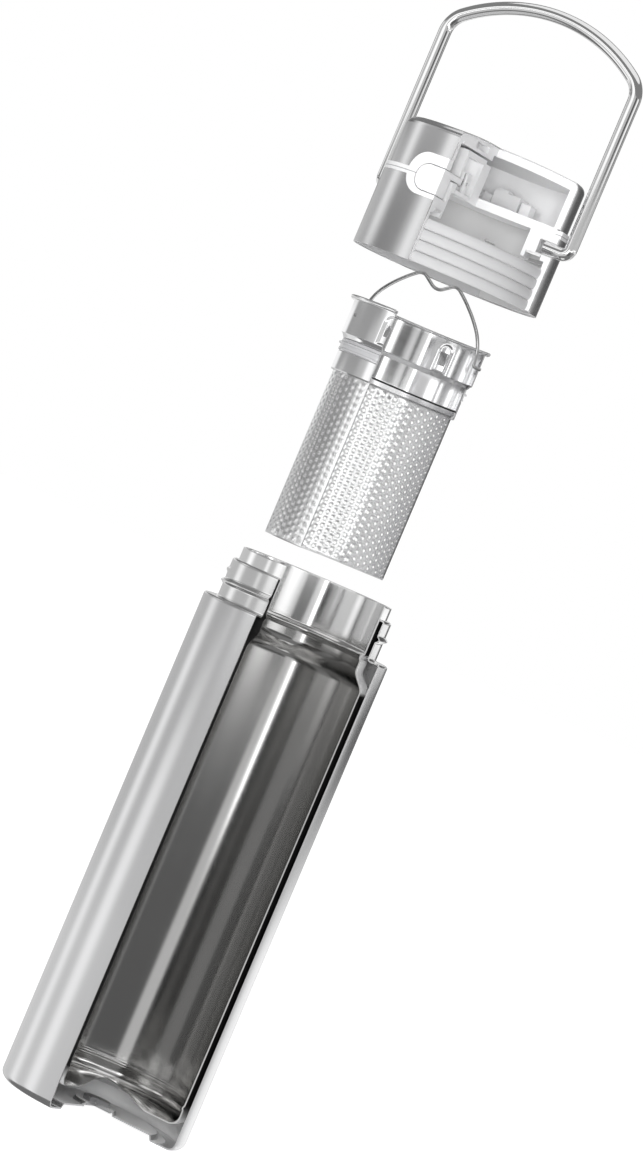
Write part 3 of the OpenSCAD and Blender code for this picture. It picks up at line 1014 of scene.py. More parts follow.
def stand_for(made: bpy.types.Object, body: str, slot: str, *nodes: str) -> bpy.types.Object:
    """Lets a piece ride on its body and hides the CAD nodes that it stands for.

    Args:
        made: The piece.
        body: The body that it rides on.
        slot: The name of its material slot; not used.
        nodes: The CAD nodes that it takes the place of.

    Returns:
        The piece.
    """
    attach(made, body)
    if nodes:
        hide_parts(*nodes)
    LOG.info("%s: %d faces on %s", made.name, len(made.data.polygons), body)
    return made


# Geometry nodes


def run_tree(
    name: str, tree: bpy.types.NodeTree, values: dict[str, float], finish: bpy.types.Material, sharp: float
) -> bpy.types.Object:
    """Runs a geometry node tree and turns its result into a plain mesh.

    Args:
        name: The piece's name.
        tree: The tree.
        values: The tree's inputs by name.
        finish: The piece's material.
        sharp: Edges sharper than this many degrees stay sharp.

    Returns:
        The object, at the origin, without modifiers.
    """
    host = bpy.data.objects.new(name + "_host", bpy.data.meshes.new(name + "_host"))
    bpy.context.scene.collection.objects.link(host)
    modifier = host.modifiers.new("Nodes", "NODES")
    modifier.node_group = tree
    inputs = {**values, "Material": finish}
    for item in tree.interface.items_tree:
        if item.item_type == "SOCKET" and item.in_out == "INPUT":
            modifier[item.identifier] = inputs[item.name]
    bpy.context.view_layer.update()
    evaluated = host.evaluated_get(bpy.context.evaluated_depsgraph_get())
    mesh = bpy.data.meshes.new_from_object(evaluated)
    host.modifiers.remove(modifier)
    bpy.data.objects.remove(host)
    mesh.name = name
    return dressed(name, mesh, finish, sharp)


class GeometryTree(Nodes):
    """A geometry node tree with named inputs and one geometry output."""

    def __init__(self, name: str, sizes: Sequence[str], counts: Sequence[str]) -> None:
        """Makes the tree and its sockets, with one for the material.

        Args:
            name: The tree's name.
            sizes: Names of the inputs that are lengths, angles or shares.
            counts: Names of the inputs that are whole numbers.
        """
        tree = bpy.data.node_groups.new(name, "GeometryNodeTree")
        kinds = [(label, FLOAT) for label in sizes] + [(label, "NodeSocketInt") for label in counts]
        for label, kind in [*kinds, ("Material", "NodeSocketMaterial")]:
            tree.interface.new_socket(label, in_out="INPUT", socket_type=kind)
        tree.interface.new_socket("Geometry", in_out="OUTPUT", socket_type="NodeSocketGeometry")
        super().__init__(tree)
        self.size = self.add("NodeGroupInput").outputs
        self.out = self.add("NodeGroupOutput")

    def node(self, kind: str, links: dict[str, object] | None = None, **settings: object) -> bpy.types.Node:
        """Adds a node, sets its options and links its inputs by name.

        Args:
            kind: The node's type.
            links: Its inputs by name, as values or sockets.
            settings: Its options by name.

        Returns:
            The node.
        """
        made = self.add(kind, **settings)
        for label, source in (links or {}).items():
            self.join(source, made.inputs[label])
        return made

    def merge(self, *sources: bpy.types.NodeSocket) -> bpy.types.NodeSocket:
        """All the geometry in one.

        Args:
            sources: The sockets of the parts.

        Returns:
            The socket of the whole.
        """
        made = self.add("GeometryNodeJoinGeometry")
        for source in sources:
            self.tree.links.new(source, made.inputs[0])
        return made.outputs[0]

    def finish(self, source: bpy.types.NodeSocket) -> bpy.types.NodeTree:
        """Realizes instances, sets the material and ends the tree.

        Args:
            source: The geometry's socket.

        Returns:
            The tree.
        """
        real = self.node("GeometryNodeRealizeInstances", {"Geometry": source})
        coated = self.node(
            "GeometryNodeSetMaterial", {"Geometry": real.outputs[0], "Material": self.size["Material"]}
        )
        self.join(coated.outputs[0], self.out.inputs[0])
        return self.tree


def perforated_wall_tree() -> bpy.types.NodeTree:
    """A round wall of punched holes in staggered columns, each hole with its own small tile.

    Returns:
        The tree. The tiles meet at shared points, and the wall is bent to its radius at the end.
    """
    t = GeometryTree(
        "PerforatedWall",
        ("Radius", "Wall", "Tile Width", "Tile Height", "Hole Radius", "Burr", "Foot", "Start Angle"),
        ("Columns", "Rows"),
    )
    wide, high, rows, columns = (t.size[k] for k in ("Tile Width", "Tile Height", "Rows", "Columns"))
    inward = t.combine(0.0, 0.0, t.times(t.size["Wall"], -1.0))

    def moved(source: bpy.types.NodeSocket, by: bpy.types.NodeSocket) -> bpy.types.NodeSocket:
        """The geometry, moved."""
        return t.node("GeometryNodeTransform", {"Geometry": source, "Translation": by}).outputs[0]

    def on_points(
        count: bpy.types.NodeSocket, place: bpy.types.NodeSocket, source: bpy.types.NodeSocket
    ) -> bpy.types.NodeSocket:
        """A copy of the geometry on each point."""
        spots = t.node("GeometryNodePoints", {"Count": count, "Position": place}).outputs[0]
        return t.node("GeometryNodeInstanceOnPoints", {"Points": spots, "Instance": source}).outputs[0]

    # One tile: a ring of twelve faces between the hole and the tile's outline
    circle = t.node(
        "GeometryNodeMeshCircle", {"Vertices": 12, "Radius": t.size["Hole Radius"]}, fill_type="NONE"
    ).outputs[0]
    raised = t.combine(0.0, 0.0, t.size["Burr"])
    edge = t.node("GeometryNodeSetPosition", {"Geometry": circle, "Offset": raised}).outputs[0]
    spread = t.node("GeometryNodeExtrudeMesh", {"Mesh": edge, "Offset Scale": 0.0}, mode="EDGES")
    flat_place = t.vector("MULTIPLY", t.add("GeometryNodeInputPosition").outputs[0], (1.0, 1.0, 0.0))
    x, y, _ = t.separate(t.vector("NORMALIZE", flat_place))

    def to_side(place: bpy.types.NodeSocket, reach: float) -> bpy.types.NodeSocket:
        """Takes a point of the unit circle out to the tile's side, as a share of half its size."""
        return t.math("MAXIMUM", t.math("MINIMUM", t.times(place, reach), 1.0), -1.0)

    # The reach brings the points at 30 degrees out to the sides, and those at 60 to the corners
    across = t.times(to_side(x, 1.1547), wide)
    along = t.times(to_side(y, 2.0), high)
    outer = t.node(
        "GeometryNodeSetPosition",
        {
            "Geometry": spread.outputs["Mesh"],
            "Selection": spread.outputs["Top"],
            "Position": t.combine(t.times(across, 0.5), t.times(along, 0.5), 0.0),
        },
    ).outputs[0]
    back = t.node("GeometryNodeFlipFaces", {"Mesh": moved(outer, inward)}).outputs[0]
    bore = t.node(
        "GeometryNodeExtrudeMesh", {"Mesh": edge, "Offset": inward, "Offset Scale": 1.0}, mode="EDGES"
    ).outputs["Mesh"]
    tile = t.merge(outer, back, bore)

    # The tiles stand in columns, every other column half a tile higher
    index = t.add("GeometryNodeInputIndex").outputs[0]
    column = t.math("FLOOR", t.math("DIVIDE", t.plus(index, 0.5), rows))
    row = t.minus(index, t.times(column, rows))
    odd = t.math("MODULO", column, 2.0)
    tile_x = t.times(t.plus(column, 0.5), wide)
    tile_y = t.times(t.plus(t.plus(row, 0.5), t.times(odd, 0.5)), high)
    tiles = on_points(t.times(rows, columns), t.combine(tile_x, tile_y, 0.0), tile)

    # Plain half tiles close the ends of the columns, and two plain strips stand along the cuts
    half = t.times(high, 0.5)

    def both_faces(plain: bpy.types.NodeSocket) -> bpy.types.NodeSocket:
        """The plain face outside and its copy inside, turned round."""
        return t.merge(plain, t.node("GeometryNodeFlipFaces", {"Mesh": moved(plain, inward)}).outputs[0])

    filler = t.node(
        "GeometryNodeMeshGrid", {"Size X": wide, "Size Y": half, "Vertices X": 3, "Vertices Y": 2}
    ).outputs["Mesh"]
    odd_end = t.math("MODULO", index, 2.0)
    top = t.plus(t.times(rows, high), t.times(high, 0.25))
    end_y = t.mix(odd_end, top, t.times(high, 0.25), "FLOAT")
    end_place = t.combine(t.times(t.plus(index, 0.5), wide), end_y, 0.0)
    fillers = on_points(columns, end_place, both_faces(filler))
    full = t.times(t.plus(rows, 0.5), high)
    quarter = t.times(wide, 0.25)
    steps = t.plus(t.times(rows, 2.0), 2.0)
    strip = t.node(
        "GeometryNodeMeshGrid", {"Size X": quarter, "Size Y": full, "Vertices X": 2, "Vertices Y": steps}
    ).outputs["Mesh"]
    strips = []
    for far in (0.0, 1.0):
        centre = t.plus(t.times(t.times(columns, wide), far), t.times(quarter, far - 0.5))
        strips.append(moved(both_faces(strip), t.combine(centre, t.times(full, 0.5), 0.0)))
    flat = t.node("GeometryNodeRealizeInstances", {"Geometry": t.merge(tiles, fillers, *strips)}).outputs[0]
    flat = t.node("GeometryNodeMergeByDistance", {"Geometry": flat, "Distance": 0.01 * MM}).outputs[0]

    # Bend the wall round the axis
    px, py, pz = t.separate(t.add("GeometryNodeInputPosition").outputs[0])
    angle = t.plus(t.math("DIVIDE", t.plus(px, quarter), t.size["Radius"]), t.size["Start Angle"])
    reach = t.plus(t.size["Radius"], pz)
    round_x, round_y = (t.times(reach, t.math(how, angle)) for how in ("COSINE", "SINE"))
    place = t.combine(round_x, round_y, t.plus(py, t.size["Foot"]))
    return t.finish(t.node("GeometryNodeSetPosition", {"Geometry": flat, "Position": place}).outputs[0])


def thread_ribs_tree() -> bpy.types.NodeTree:
    """Ribs that climb round the axis, one above the other, as a screw thread's turns do.

    Returns:
        The tree. Each rib is part of a turn, and a copy stands on each point of a short line.
    """
    t = GeometryTree(
        "ThreadRibs",
        ("Radius", "Share of Turn", "Lead", "Spacing", "First Height", "Rib Height", "Rib Depth"),
        ("Count",),
    )
    rise = t.times(t.size["Lead"], t.size["Share of Turn"])
    path = t.node(
        "GeometryNodeCurveSpiral",
        {
            "Resolution": 96,
            "Rotations": t.size["Share of Turn"],
            "Start Radius": t.size["Radius"],
            "End Radius": t.size["Radius"],
            "Height": rise,
        },
    ).outputs[0]
    circle = t.node("GeometryNodeCurvePrimitiveCircle", {"Resolution": 20, "Radius": 1.0}).outputs[0]
    section = t.combine(t.size["Rib Depth"], t.size["Rib Height"], 1.0)
    profile = t.node("GeometryNodeTransform", {"Geometry": circle, "Scale": section}).outputs[0]
    rib = t.node(
        "GeometryNodeCurveToMesh", {"Curve": path, "Profile Curve": profile, "Fill Caps": True}
    ).outputs[0]
    index = t.add("GeometryNodeInputIndex").outputs[0]
    level = t.combine(0.0, 0.0, t.plus(t.size["First Height"], t.times(index, t.size["Spacing"])))
    spots = t.node("GeometryNodePoints", {"Count": t.size["Count"], "Position": level}).outputs[0]
    ribs = t.node("GeometryNodeInstanceOnPoints", {"Points": spots, "Instance": rib}).outputs[0]
    return t.finish(ribs)


# Sub-assemblies


@dataclass
class Flask:
    """The double-walled flask: shell, base, threaded neck and inner vessel."""

    radius: float = 35.0
    height: float = 185.3
    shell_wall: float = 0.6
    vessel_wall: float = 0.5
    vacuum_gap: float = 2.1
    mouth_radius: float = 27.7
    lip_height: float = 204.6
    neck_top: float = 200.0
    neck_gap: float = 1.5
    seam: float = 5.0
    foot_radius: float = 25.0
    base_hollow: float = 1.8
    dimple_radius: float = 8.0
    dimple_height: float = 1.4
    base_round: float = 3.0
    floor_height: float = 9.1
    dome_height: float = 4.4
    dome_radius: float = 19.0
    foot_bead: float = 15.7
    stop_bead: float = 1.3
    thread_pitch: float = 4.2
    thread_height: float = 1.1
    thread_half: float = 1.35
    thread_level: float = 193.3
    thread_from: float = 24.5
    thread_turn: tuple[float, float] = (-192.0, 222.0)
    edge_round: float = 0.8
    shoulder_drop: tuple[float, float] = (12.2, 4.6)
    floor_corner: float = 3.5
    foot_lap: float = 2.95

    @property
    def neck_radius(self) -> float:
        """Outer radius of the neck below its thread."""
        return self.mouth_radius + 2 * self.vessel_wall + self.neck_gap

    def shell(self) -> Solid:
        """The outer skin from the foot ring up to the shoulder, with the base's seam ground flush.

        Returns:
            Its points and faces.
        """
        high = self.height
        path = (
            [(self.foot_radius + self.foot_lap + 0.05, 0.0), (self.radius - self.base_round, 0.0)]
            + arc(self.radius - self.base_round, self.base_round, self.base_round, -90, 0, 24)
            + line((self.radius, self.seam), (self.radius, high - self.edge_round), 20)
            + arc(self.radius - self.edge_round, high - self.edge_round, self.edge_round, 0, 90, 10)
            + [(self.radius - 1.0, high)]
        )
        return turned(sheet(path, self.shell_wall), segments=240)

    def base_cap(self) -> Solid:
        """The pressed base with the dimple of the vacuum seal, out to the foot ring.

        Returns:
            Its points and faces.
        """
        top = self.base_hollow + self.dimple_height
        path = (
            line((0.0, top), (self.dimple_radius - 0.8, top), 4.0)
            + s_curve_flat((self.dimple_radius - 0.8, top), (self.dimple_radius, self.base_hollow))
            + line((self.dimple_radius, self.base_hollow), (self.foot_radius - 1.4, self.base_hollow), 4.0)
            + s_curve_flat((self.foot_radius - 1.4, self.base_hollow), (self.foot_radius, 0.0))
            + [(self.foot_radius, 0.0), (self.foot_radius + self.foot_lap, 0.0)]
        )
        return turned(sheet(path, self.shell_wall))

    def vessel(self) -> Solid:
        """The inner vessel from its domed floor to its lip.

        Returns:
            Its points and faces.
        """
        radius = self.radius - self.shell_wall - self.vacuum_gap - self.vessel_wall
        mouth, high = self.mouth_radius, self.height
        share = np.linspace(0, 1, 25)
        dome = zip(self.dome_radius * share, self.floor_height + self.dome_height * (1 - share**2) ** 1.3)
        bead, corner = self.foot_bead, self.floor_corner
        turns_in, turned_in = (high - drop for drop in self.shoulder_drop)
        path = (
            list(dome)
            + arc(radius - corner, self.floor_height + corner, corner, -90, 0, 12)
            + s_curve((radius, bead - 1.1), (radius - 0.4, bead - 0.2), 8)
            + s_curve((radius - 0.4, bead + 0.2), (radius, bead + 1.1), 8)
            + line((radius, bead + 2), (radius, turns_in - 0.6), 20)
            + s_curve((radius, turns_in), (mouth - 0.6, turned_in))
            + [(mouth - 0.6, high - 2)]
            + s_curve((mouth - 0.6, high - 1.7), (mouth - self.stop_bead, high - 0.2), 8)
            + [(mouth - self.stop_bead + 0.05, high + 0.3), (mouth - self.stop_bead + 0.4, high + 0.75)]
            + [(mouth - 0.2, high + 1.15), (mouth, high + 1.5), (mouth, self.lip_height)]
        )
        return turned(sheet(path, -self.vessel_wall))

    def bead(self, angle: np.ndarray, radius: np.ndarray, height: np.ndarray) -> np.ndarray:
        """Radii of the neck with the rolled thread pressed into it.

        Args:
            angle: Angle round the axis in degrees, of every point.
            radius: Radius in mm, of every point.
            height: Height in mm, of every point.

        Returns:
            The new radii.
        """
        grown = np.array(radius, float)
        first, last = self.thread_turn
        fading = 30.0
        for turn in (-360.0, 0.0, 360.0):
            along = angle + turn
            crest = self.thread_level + self.thread_pitch * (along - self.thread_from) / 360
            fade = np.clip((along - first) / fading, 0, 1) * np.clip((last - along) / fading, 0, 1)
            near = (1 + np.cos(np.pi * np.clip((height - crest) / self.thread_half, -1, 1))) / 2
            grown += self.thread_height * fade * near * (radius > self.neck_radius - 0.8)
        return grown

    def neck(self) -> Solid:
        """The neck's outer wall with its rolled thread, from the shoulder to the lip.

        Returns:
            Its points and faces.
        """
        wall, high = self.neck_radius, self.height
        path = (
            [(self.radius - 1.0, high), (wall + 0.9, high)]
            + arc(wall + 0.8, high + 0.8, 0.8, -95, -180, 8)
            + line((wall, high + 0.9), (wall, self.neck_top - 1.0), 0.2)
            + arc(wall - 0.9, self.neck_top - 0.9, 0.9, 0, 90, 8)
            + [(self.mouth_radius + self.vessel_wall, self.neck_top)]
        )
        return turned(sheet(path, self.vessel_wall), shape=self.bead)

    def build(self, finishes: Finishes, nodes: dict[str, bpy.types.Object]) -> None:
        """Makes the flask's pieces and dresses its CAD nodes.

        Args:
            finishes: The materials, made when first asked for.
            nodes: The CAD nodes' objects by name.
        """
        for name, solid, finish, slot, node in (
            ("flask_shell", self.shell(), "shell_steel", "brushed_steel", "outer_shell"),
            ("flask_base", self.base_cap(), "base_steel", "brushed_steel", "base_cap"),
            ("tea_vessel", self.vessel(), "vessel_steel", "vessel_steel", "inner_vessel"),
            ("threaded_neck", self.neck(), "neck_steel", "polished_steel", "neck_ring"),
        ):
            stand_for(piece(name, *solid, finishes.get(finish)), "flask", slot, node)
        finishes.dress(nodes, ["vacuum_seal", "getter"], "seal_metal")


def s_curve_flat(start: tuple[float, float], end: tuple[float, float], steps: int = 8) -> Path:
    """A smooth step that starts and ends square to the axis."""
    return [(r, z) for z, r in s_curve((start[1], start[0]), (end[1], end[0]), steps)]


@dataclass
class Infuser:
    """The lift-out infuser: collar, seal, lower ring, perforated basket and bail."""

    lift: float = Level.INFUSER.value
    wall: float = 0.5
    seat: float = 204.65
    collar_radius: float = 26.2
    collar_height: float = 12.25
    rim_radius: float = 28.0
    rim_bead: float = 1.3
    tube_radius: float = 24.3
    tube_foot: float = 182.5
    slot_width: float = 2.7
    slot_cutter_from: float = 15.0
    hole_cutter_at: float = 26.0
    hole_cutter_length: float = 6.0
    slot_levels: tuple[float, float] = (196.05, 200.25)
    arch_levels: tuple[float, float] = (193.2, 203.4)
    arch_half: float = 2.5
    arch_depth: float = 0.3
    basket_radius: float = 23.5
    basket_wall: float = 0.4
    basket_foot: float = 117.5
    flare: float = 179.9
    columns_in_turn: int = 66
    columns: int = 40
    rows: int = 23
    row_pitch: float = 2.63
    hole_radius: float = 0.575
    burr: float = 0.1
    bail_thick: float = 1.25
    bail_height: float = 23.5
    bail_lean: float = 8.0
    bail_drop: float = 5.15
    cut_from: float = 49.0

    def press(self, angle: np.ndarray, radius: np.ndarray, height: np.ndarray) -> np.ndarray:
        """Radii of the collar with the arched pads pressed in round its two slots.

        Args:
            angle: Angle round the axis in degrees, of every point.
            radius: Radius in mm, of every point.
            height: Height in mm, of every point.

        Returns:
            The new radii.
        """
        grown = np.array(radius, float)
        low, high = self.arch_levels
        bend = high - self.arch_half
        for middle in (90.0, 270.0):
            across = np.abs(np.radians(angle - middle)) * self.collar_radius
            beside = np.maximum(across - self.arch_half, low - height)
            over = np.hypot(across, np.maximum(height - bend, 0)) - self.arch_half
            off = np.where(height > bend, over, beside)
            share = np.clip(0.5 - off / 1.3, 0, 1)
            grown -= self.arch_depth * share * share * (3 - 2 * share)
        return grown

    def collar(self) -> Solid:
        """The collar's wall, with its step down to the seal's seat.

        Returns:
            Its points and faces.
        """
        top = self.seat - self.collar_height
        path = (
            line((self.tube_radius, self.tube_foot), (self.tube_radius, top - 1.7), 2.0)
            + s_curve_flat((self.tube_radius, top - 1.7), (self.collar_radius, top + 0.2), 12)
            + line((self.collar_radius, top + 0.4), (self.collar_radius, self.seat + self.wall - 0.1), 0.25)
        )
        return turned(sheet(path, self.wall), self.lift, 260, self.press, self.cut_from)

    def rim(self) -> Solid:
        """The flange on the flask's lip and its two rolled edges.

        Returns:
            Its points and faces.
        """
        bead, top = self.rim_bead / 2, self.seat + self.wall + self.rim_bead - 0.25
        flange = [
            (self.collar_radius - 0.9, self.seat),
            (self.rim_radius - bead, self.seat),
            (self.rim_radius - bead, self.seat + self.wall),
            (self.collar_radius - 0.9, self.seat + self.wall),
        ]
        outer = arc(self.rim_radius - bead, top - bead, bead, 0, 345, 23)
        inner = arc(self.collar_radius - 0.9, top - bead, bead - 0.15, 0, 345, 23)
        rings = [turned(o, self.lift, start=self.cut_from) for o in (flange, outer, inner)]
        low, high = self.slot_levels
        tongue = [(25.4, low - 0.3), (25.7, low - 0.3), (24.6, high + 0.3), (24.3, high + 0.3)]
        rings += [turned(tongue, self.lift, 8, None, a, b) for a, b in ((86.6, 93.4), (266.6, CUT_TO))]
        return joined(rings)

    def basket_ends(self) -> Solid:
        """The plain flare above the perforated wall and the hem below it.

        Returns:
            Its points and faces.
        """
        r, top, foot = self.basket_radius, self.tube_foot - 0.4, self.basket_foot
        neck, out = self.tube_radius - 0.05, self.flare
        flare = [(r, out - 0.5)] + s_curve((r, out - 0.4), (neck, out + 0.4), 8) + [(neck, top)]
        near, far, rise = r - 0.6, r + 0.03, foot + 0.75
        hem = [(far, rise), (far, foot + 0.2), (r - 0.15, foot), (near, foot), (near, rise)]
        both = (sheet(flare, self.basket_wall), hem)
        return joined([turned(outline, self.lift, start=self.cut_from) for outline in both])

    def joint(self) -> Solid:
        """Painted shadow: a dark ring where the groove lies between the collar's tube and the basket, seen
        from inside.

        Returns:
            Its points and faces.
        """
        r, z = self.tube_radius - 0.54, self.tube_foot - 0.5
        outline = [(r, z), (r + 0.5, z), (r + 0.5, z + 0.55), (r, z + 0.55)]
        return turned(outline, self.lift, start=self.cut_from)

    def basket(self, finish: bpy.types.Material) -> bpy.types.Object:
        """The perforated wall.

        Args:
            finish: The wall's material.

        Returns:
            The wall's object.
        """
        values = {
            "Radius": self.basket_radius * MM,
            "Wall": self.basket_wall * MM,
            "Tile Width": 2 * math.pi * self.basket_radius / self.columns_in_turn * MM,
            "Tile Height": self.row_pitch * MM,
            "Hole Radius": self.hole_radius * MM,
            "Burr": self.burr * MM,
            "Columns": self.columns,
            "Rows": self.rows,
            "Foot": (self.basket_foot + 0.3 + self.lift) * MM,
            "Start Angle": math.radians(self.cut_from),
        }
        return run_tree("perforated_basket", perforated_wall_tree(), values, finish, 50.0)

    def bail_line(self) -> np.ndarray:
        """The bail's centre line, from one pivot over the dip in the middle to the other.

        Returns:
            One point in a row.
        """
        half = self.collar_radius - self.wall - self.bail_thick / 2 - 1.6
        h = self.bail_height
        # Up one side, over the crest and down to the middle of the dip
        shape = [
            (half, 2.0), (half - 0.4, 5.0), (half - 1.3, 8.0), (half - 3.2, h * 0.494),
            (half - 6.6, h * 0.672), (half - 10.9, h * 0.847), (9.2, h - 0.95), (7.9, h - 0.25),
            (6.9, h - 0.05), (5.7, h - 0.4), (3.4, h - 1.9), (1.6, h - 3.0), (0.0, h - 3.3),
        ]
        smooth = catmull(np.array(shape + [(-x, z) for x, z in shape[-2::-1]]), 6)
        foot = [(self.collar_radius + 0.3, 0.0), (half + 0.9, 0.0)] + arc(half + 0.9, 0.9, 0.9, -105, -175, 5)
        points = np.vstack([foot, smooth, [(-x, z) for x, z in foot[::-1]]])
        lean, turn = math.radians(self.bail_lean), math.radians(self.cut_from)
        rise = self.seat - self.bail_drop + self.lift
        back = points[:, 1] * math.sin(lean)
        return np.stack(
            [
                points[:, 0] * math.cos(turn) - back * math.sin(turn),
                points[:, 0] * math.sin(turn) + back * math.cos(turn),
                points[:, 1] * math.cos(lean) + rise,
            ],
            axis=1,
        )

    def build(self, finishes: Finishes, nodes: dict[str, bpy.types.Object]) -> None:
        """Makes the infuser's pieces and dresses its CAD nodes.

        Args:
            finishes: The materials, made when first asked for.
            nodes: The CAD nodes' objects by name.
        """
        steel = finishes.get("infuser_steel")
        collar = piece("pressed_collar", *self.collar(), steel)
        self.cut_slots(collar)
        stand_for(collar, "infuser", "polished_steel", "infuser_collar")
        stand_for(piece("rolled_rim", *self.rim(), steel), "infuser", "polished_steel")
        stand_for(self.basket(finishes.get("basket_steel")), "infuser", "polished_steel", "infuser_basket")
        ends = piece("basket_ends", *self.basket_ends(), finishes.get("basket_steel"))
        stand_for(ends, "infuser", "polished_steel")
        # A dark ring of painted shadow where the groove lies
        joint = piece("basket_groove_shadow", *self.joint(), finishes.get("joint_shadow"))
        stand_for(joint, "infuser", "polished_steel")
        bail = piece("wire_bail", *rod(self.bail_line(), self.bail_thick / 2, 16), finishes.get("wire_steel"))
        stand_for(bail, "bail", "wire_steel", "infuser_bail")
        finishes.dress(nodes, ["lower_ring", "basket_floor"], "ring_steel")
        finishes.dress(nodes, ["infuser_seal"], "clear_silicone")

    def cut_slots(self, collar: bpy.types.Object) -> None:
        """Cuts the two slots and the bail's pivot holes through the collar.

        Args:
            collar: The collar's object, whose mesh is replaced.
        """
        low, high = (z + self.lift for z in self.slot_levels)
        half, reach = self.slot_width / 2, self.collar_radius + 3
        pivot = self.seat - self.bail_drop + self.lift
        hole, long = (self.bail_thick / 2 + 0.05) * MM, self.hole_cutter_length * MM
        work = bmesh.new()
        near = self.slot_cutter_from
        for front, back in ((near, reach), (-reach, -near)):
            for v in bmesh.ops.create_cube(work, size=1.0)["verts"]:
                x = -half if v.co.x < 0 else half
                y = front if v.co.y < 0 else back
                v.co = Vector((x, y, low if v.co.z < 0 else high)) * MM
        turn, lie = (Matrix.Rotation(math.radians(a), 4, k) for a, k in ((self.cut_from, "Z"), (90, "Y")))
        for side in (-1, 1):
            at = turn @ Matrix.Translation(Vector((side * self.hole_cutter_at, 0.0, pivot)) * MM) @ lie
            bmesh.ops.create_cone(
                work, cap_ends=True, segments=20, radius1=hole, radius2=hole, depth=long, matrix=at
            )
        bmesh.ops.recalc_face_normals(work, faces=work.faces)
        mesh = bpy.data.meshes.new("slot_cutter")
        work.to_mesh(mesh)
        work.free()
        cutter = bpy.data.objects.new("slot_cutter", mesh)
        bpy.context.scene.collection.objects.link(cutter)
        cut = collar.modifiers.new("Slots", "BOOLEAN")
        cut.operation, cut.object, cut.solver = "DIFFERENCE", cutter, "MANIFOLD"
        bpy.context.view_layer.update()
        result = bpy.data.meshes.new_from_object(collar.evaluated_get(bpy.context.evaluated_depsgraph_get()))
        collar.modifiers.remove(cut)
        bpy.data.objects.remove(cutter)
        old = collar.data
        collar.data = result
        bpy.data.meshes.remove(old)
        result.set_sharp_from_angle(angle=math.radians(SHARP))


def catmull(points: np.ndarray, steps: int) -> np.ndarray:
    """A smooth line through points.

    Args:
        points: The points.
        steps: Steps between two of them.

    Returns:
        The points of the line.
    """
    made = []
    last = len(points) - 1
    for i in range(last):
        a, b, c, d = (points[max(0, min(last, i + k))] for k in (-1, 0, 1, 2))
        for k in range(steps):
            s = k / steps
            bend = (2 * a - 5 * b + 4 * c - d) * s**2 + (3 * b - a - 3 * c + d) * s**3
            made.append(0.5 * (2 * b + (c - a) * s + bend))
    return np.vstack([made, points[-1:]])


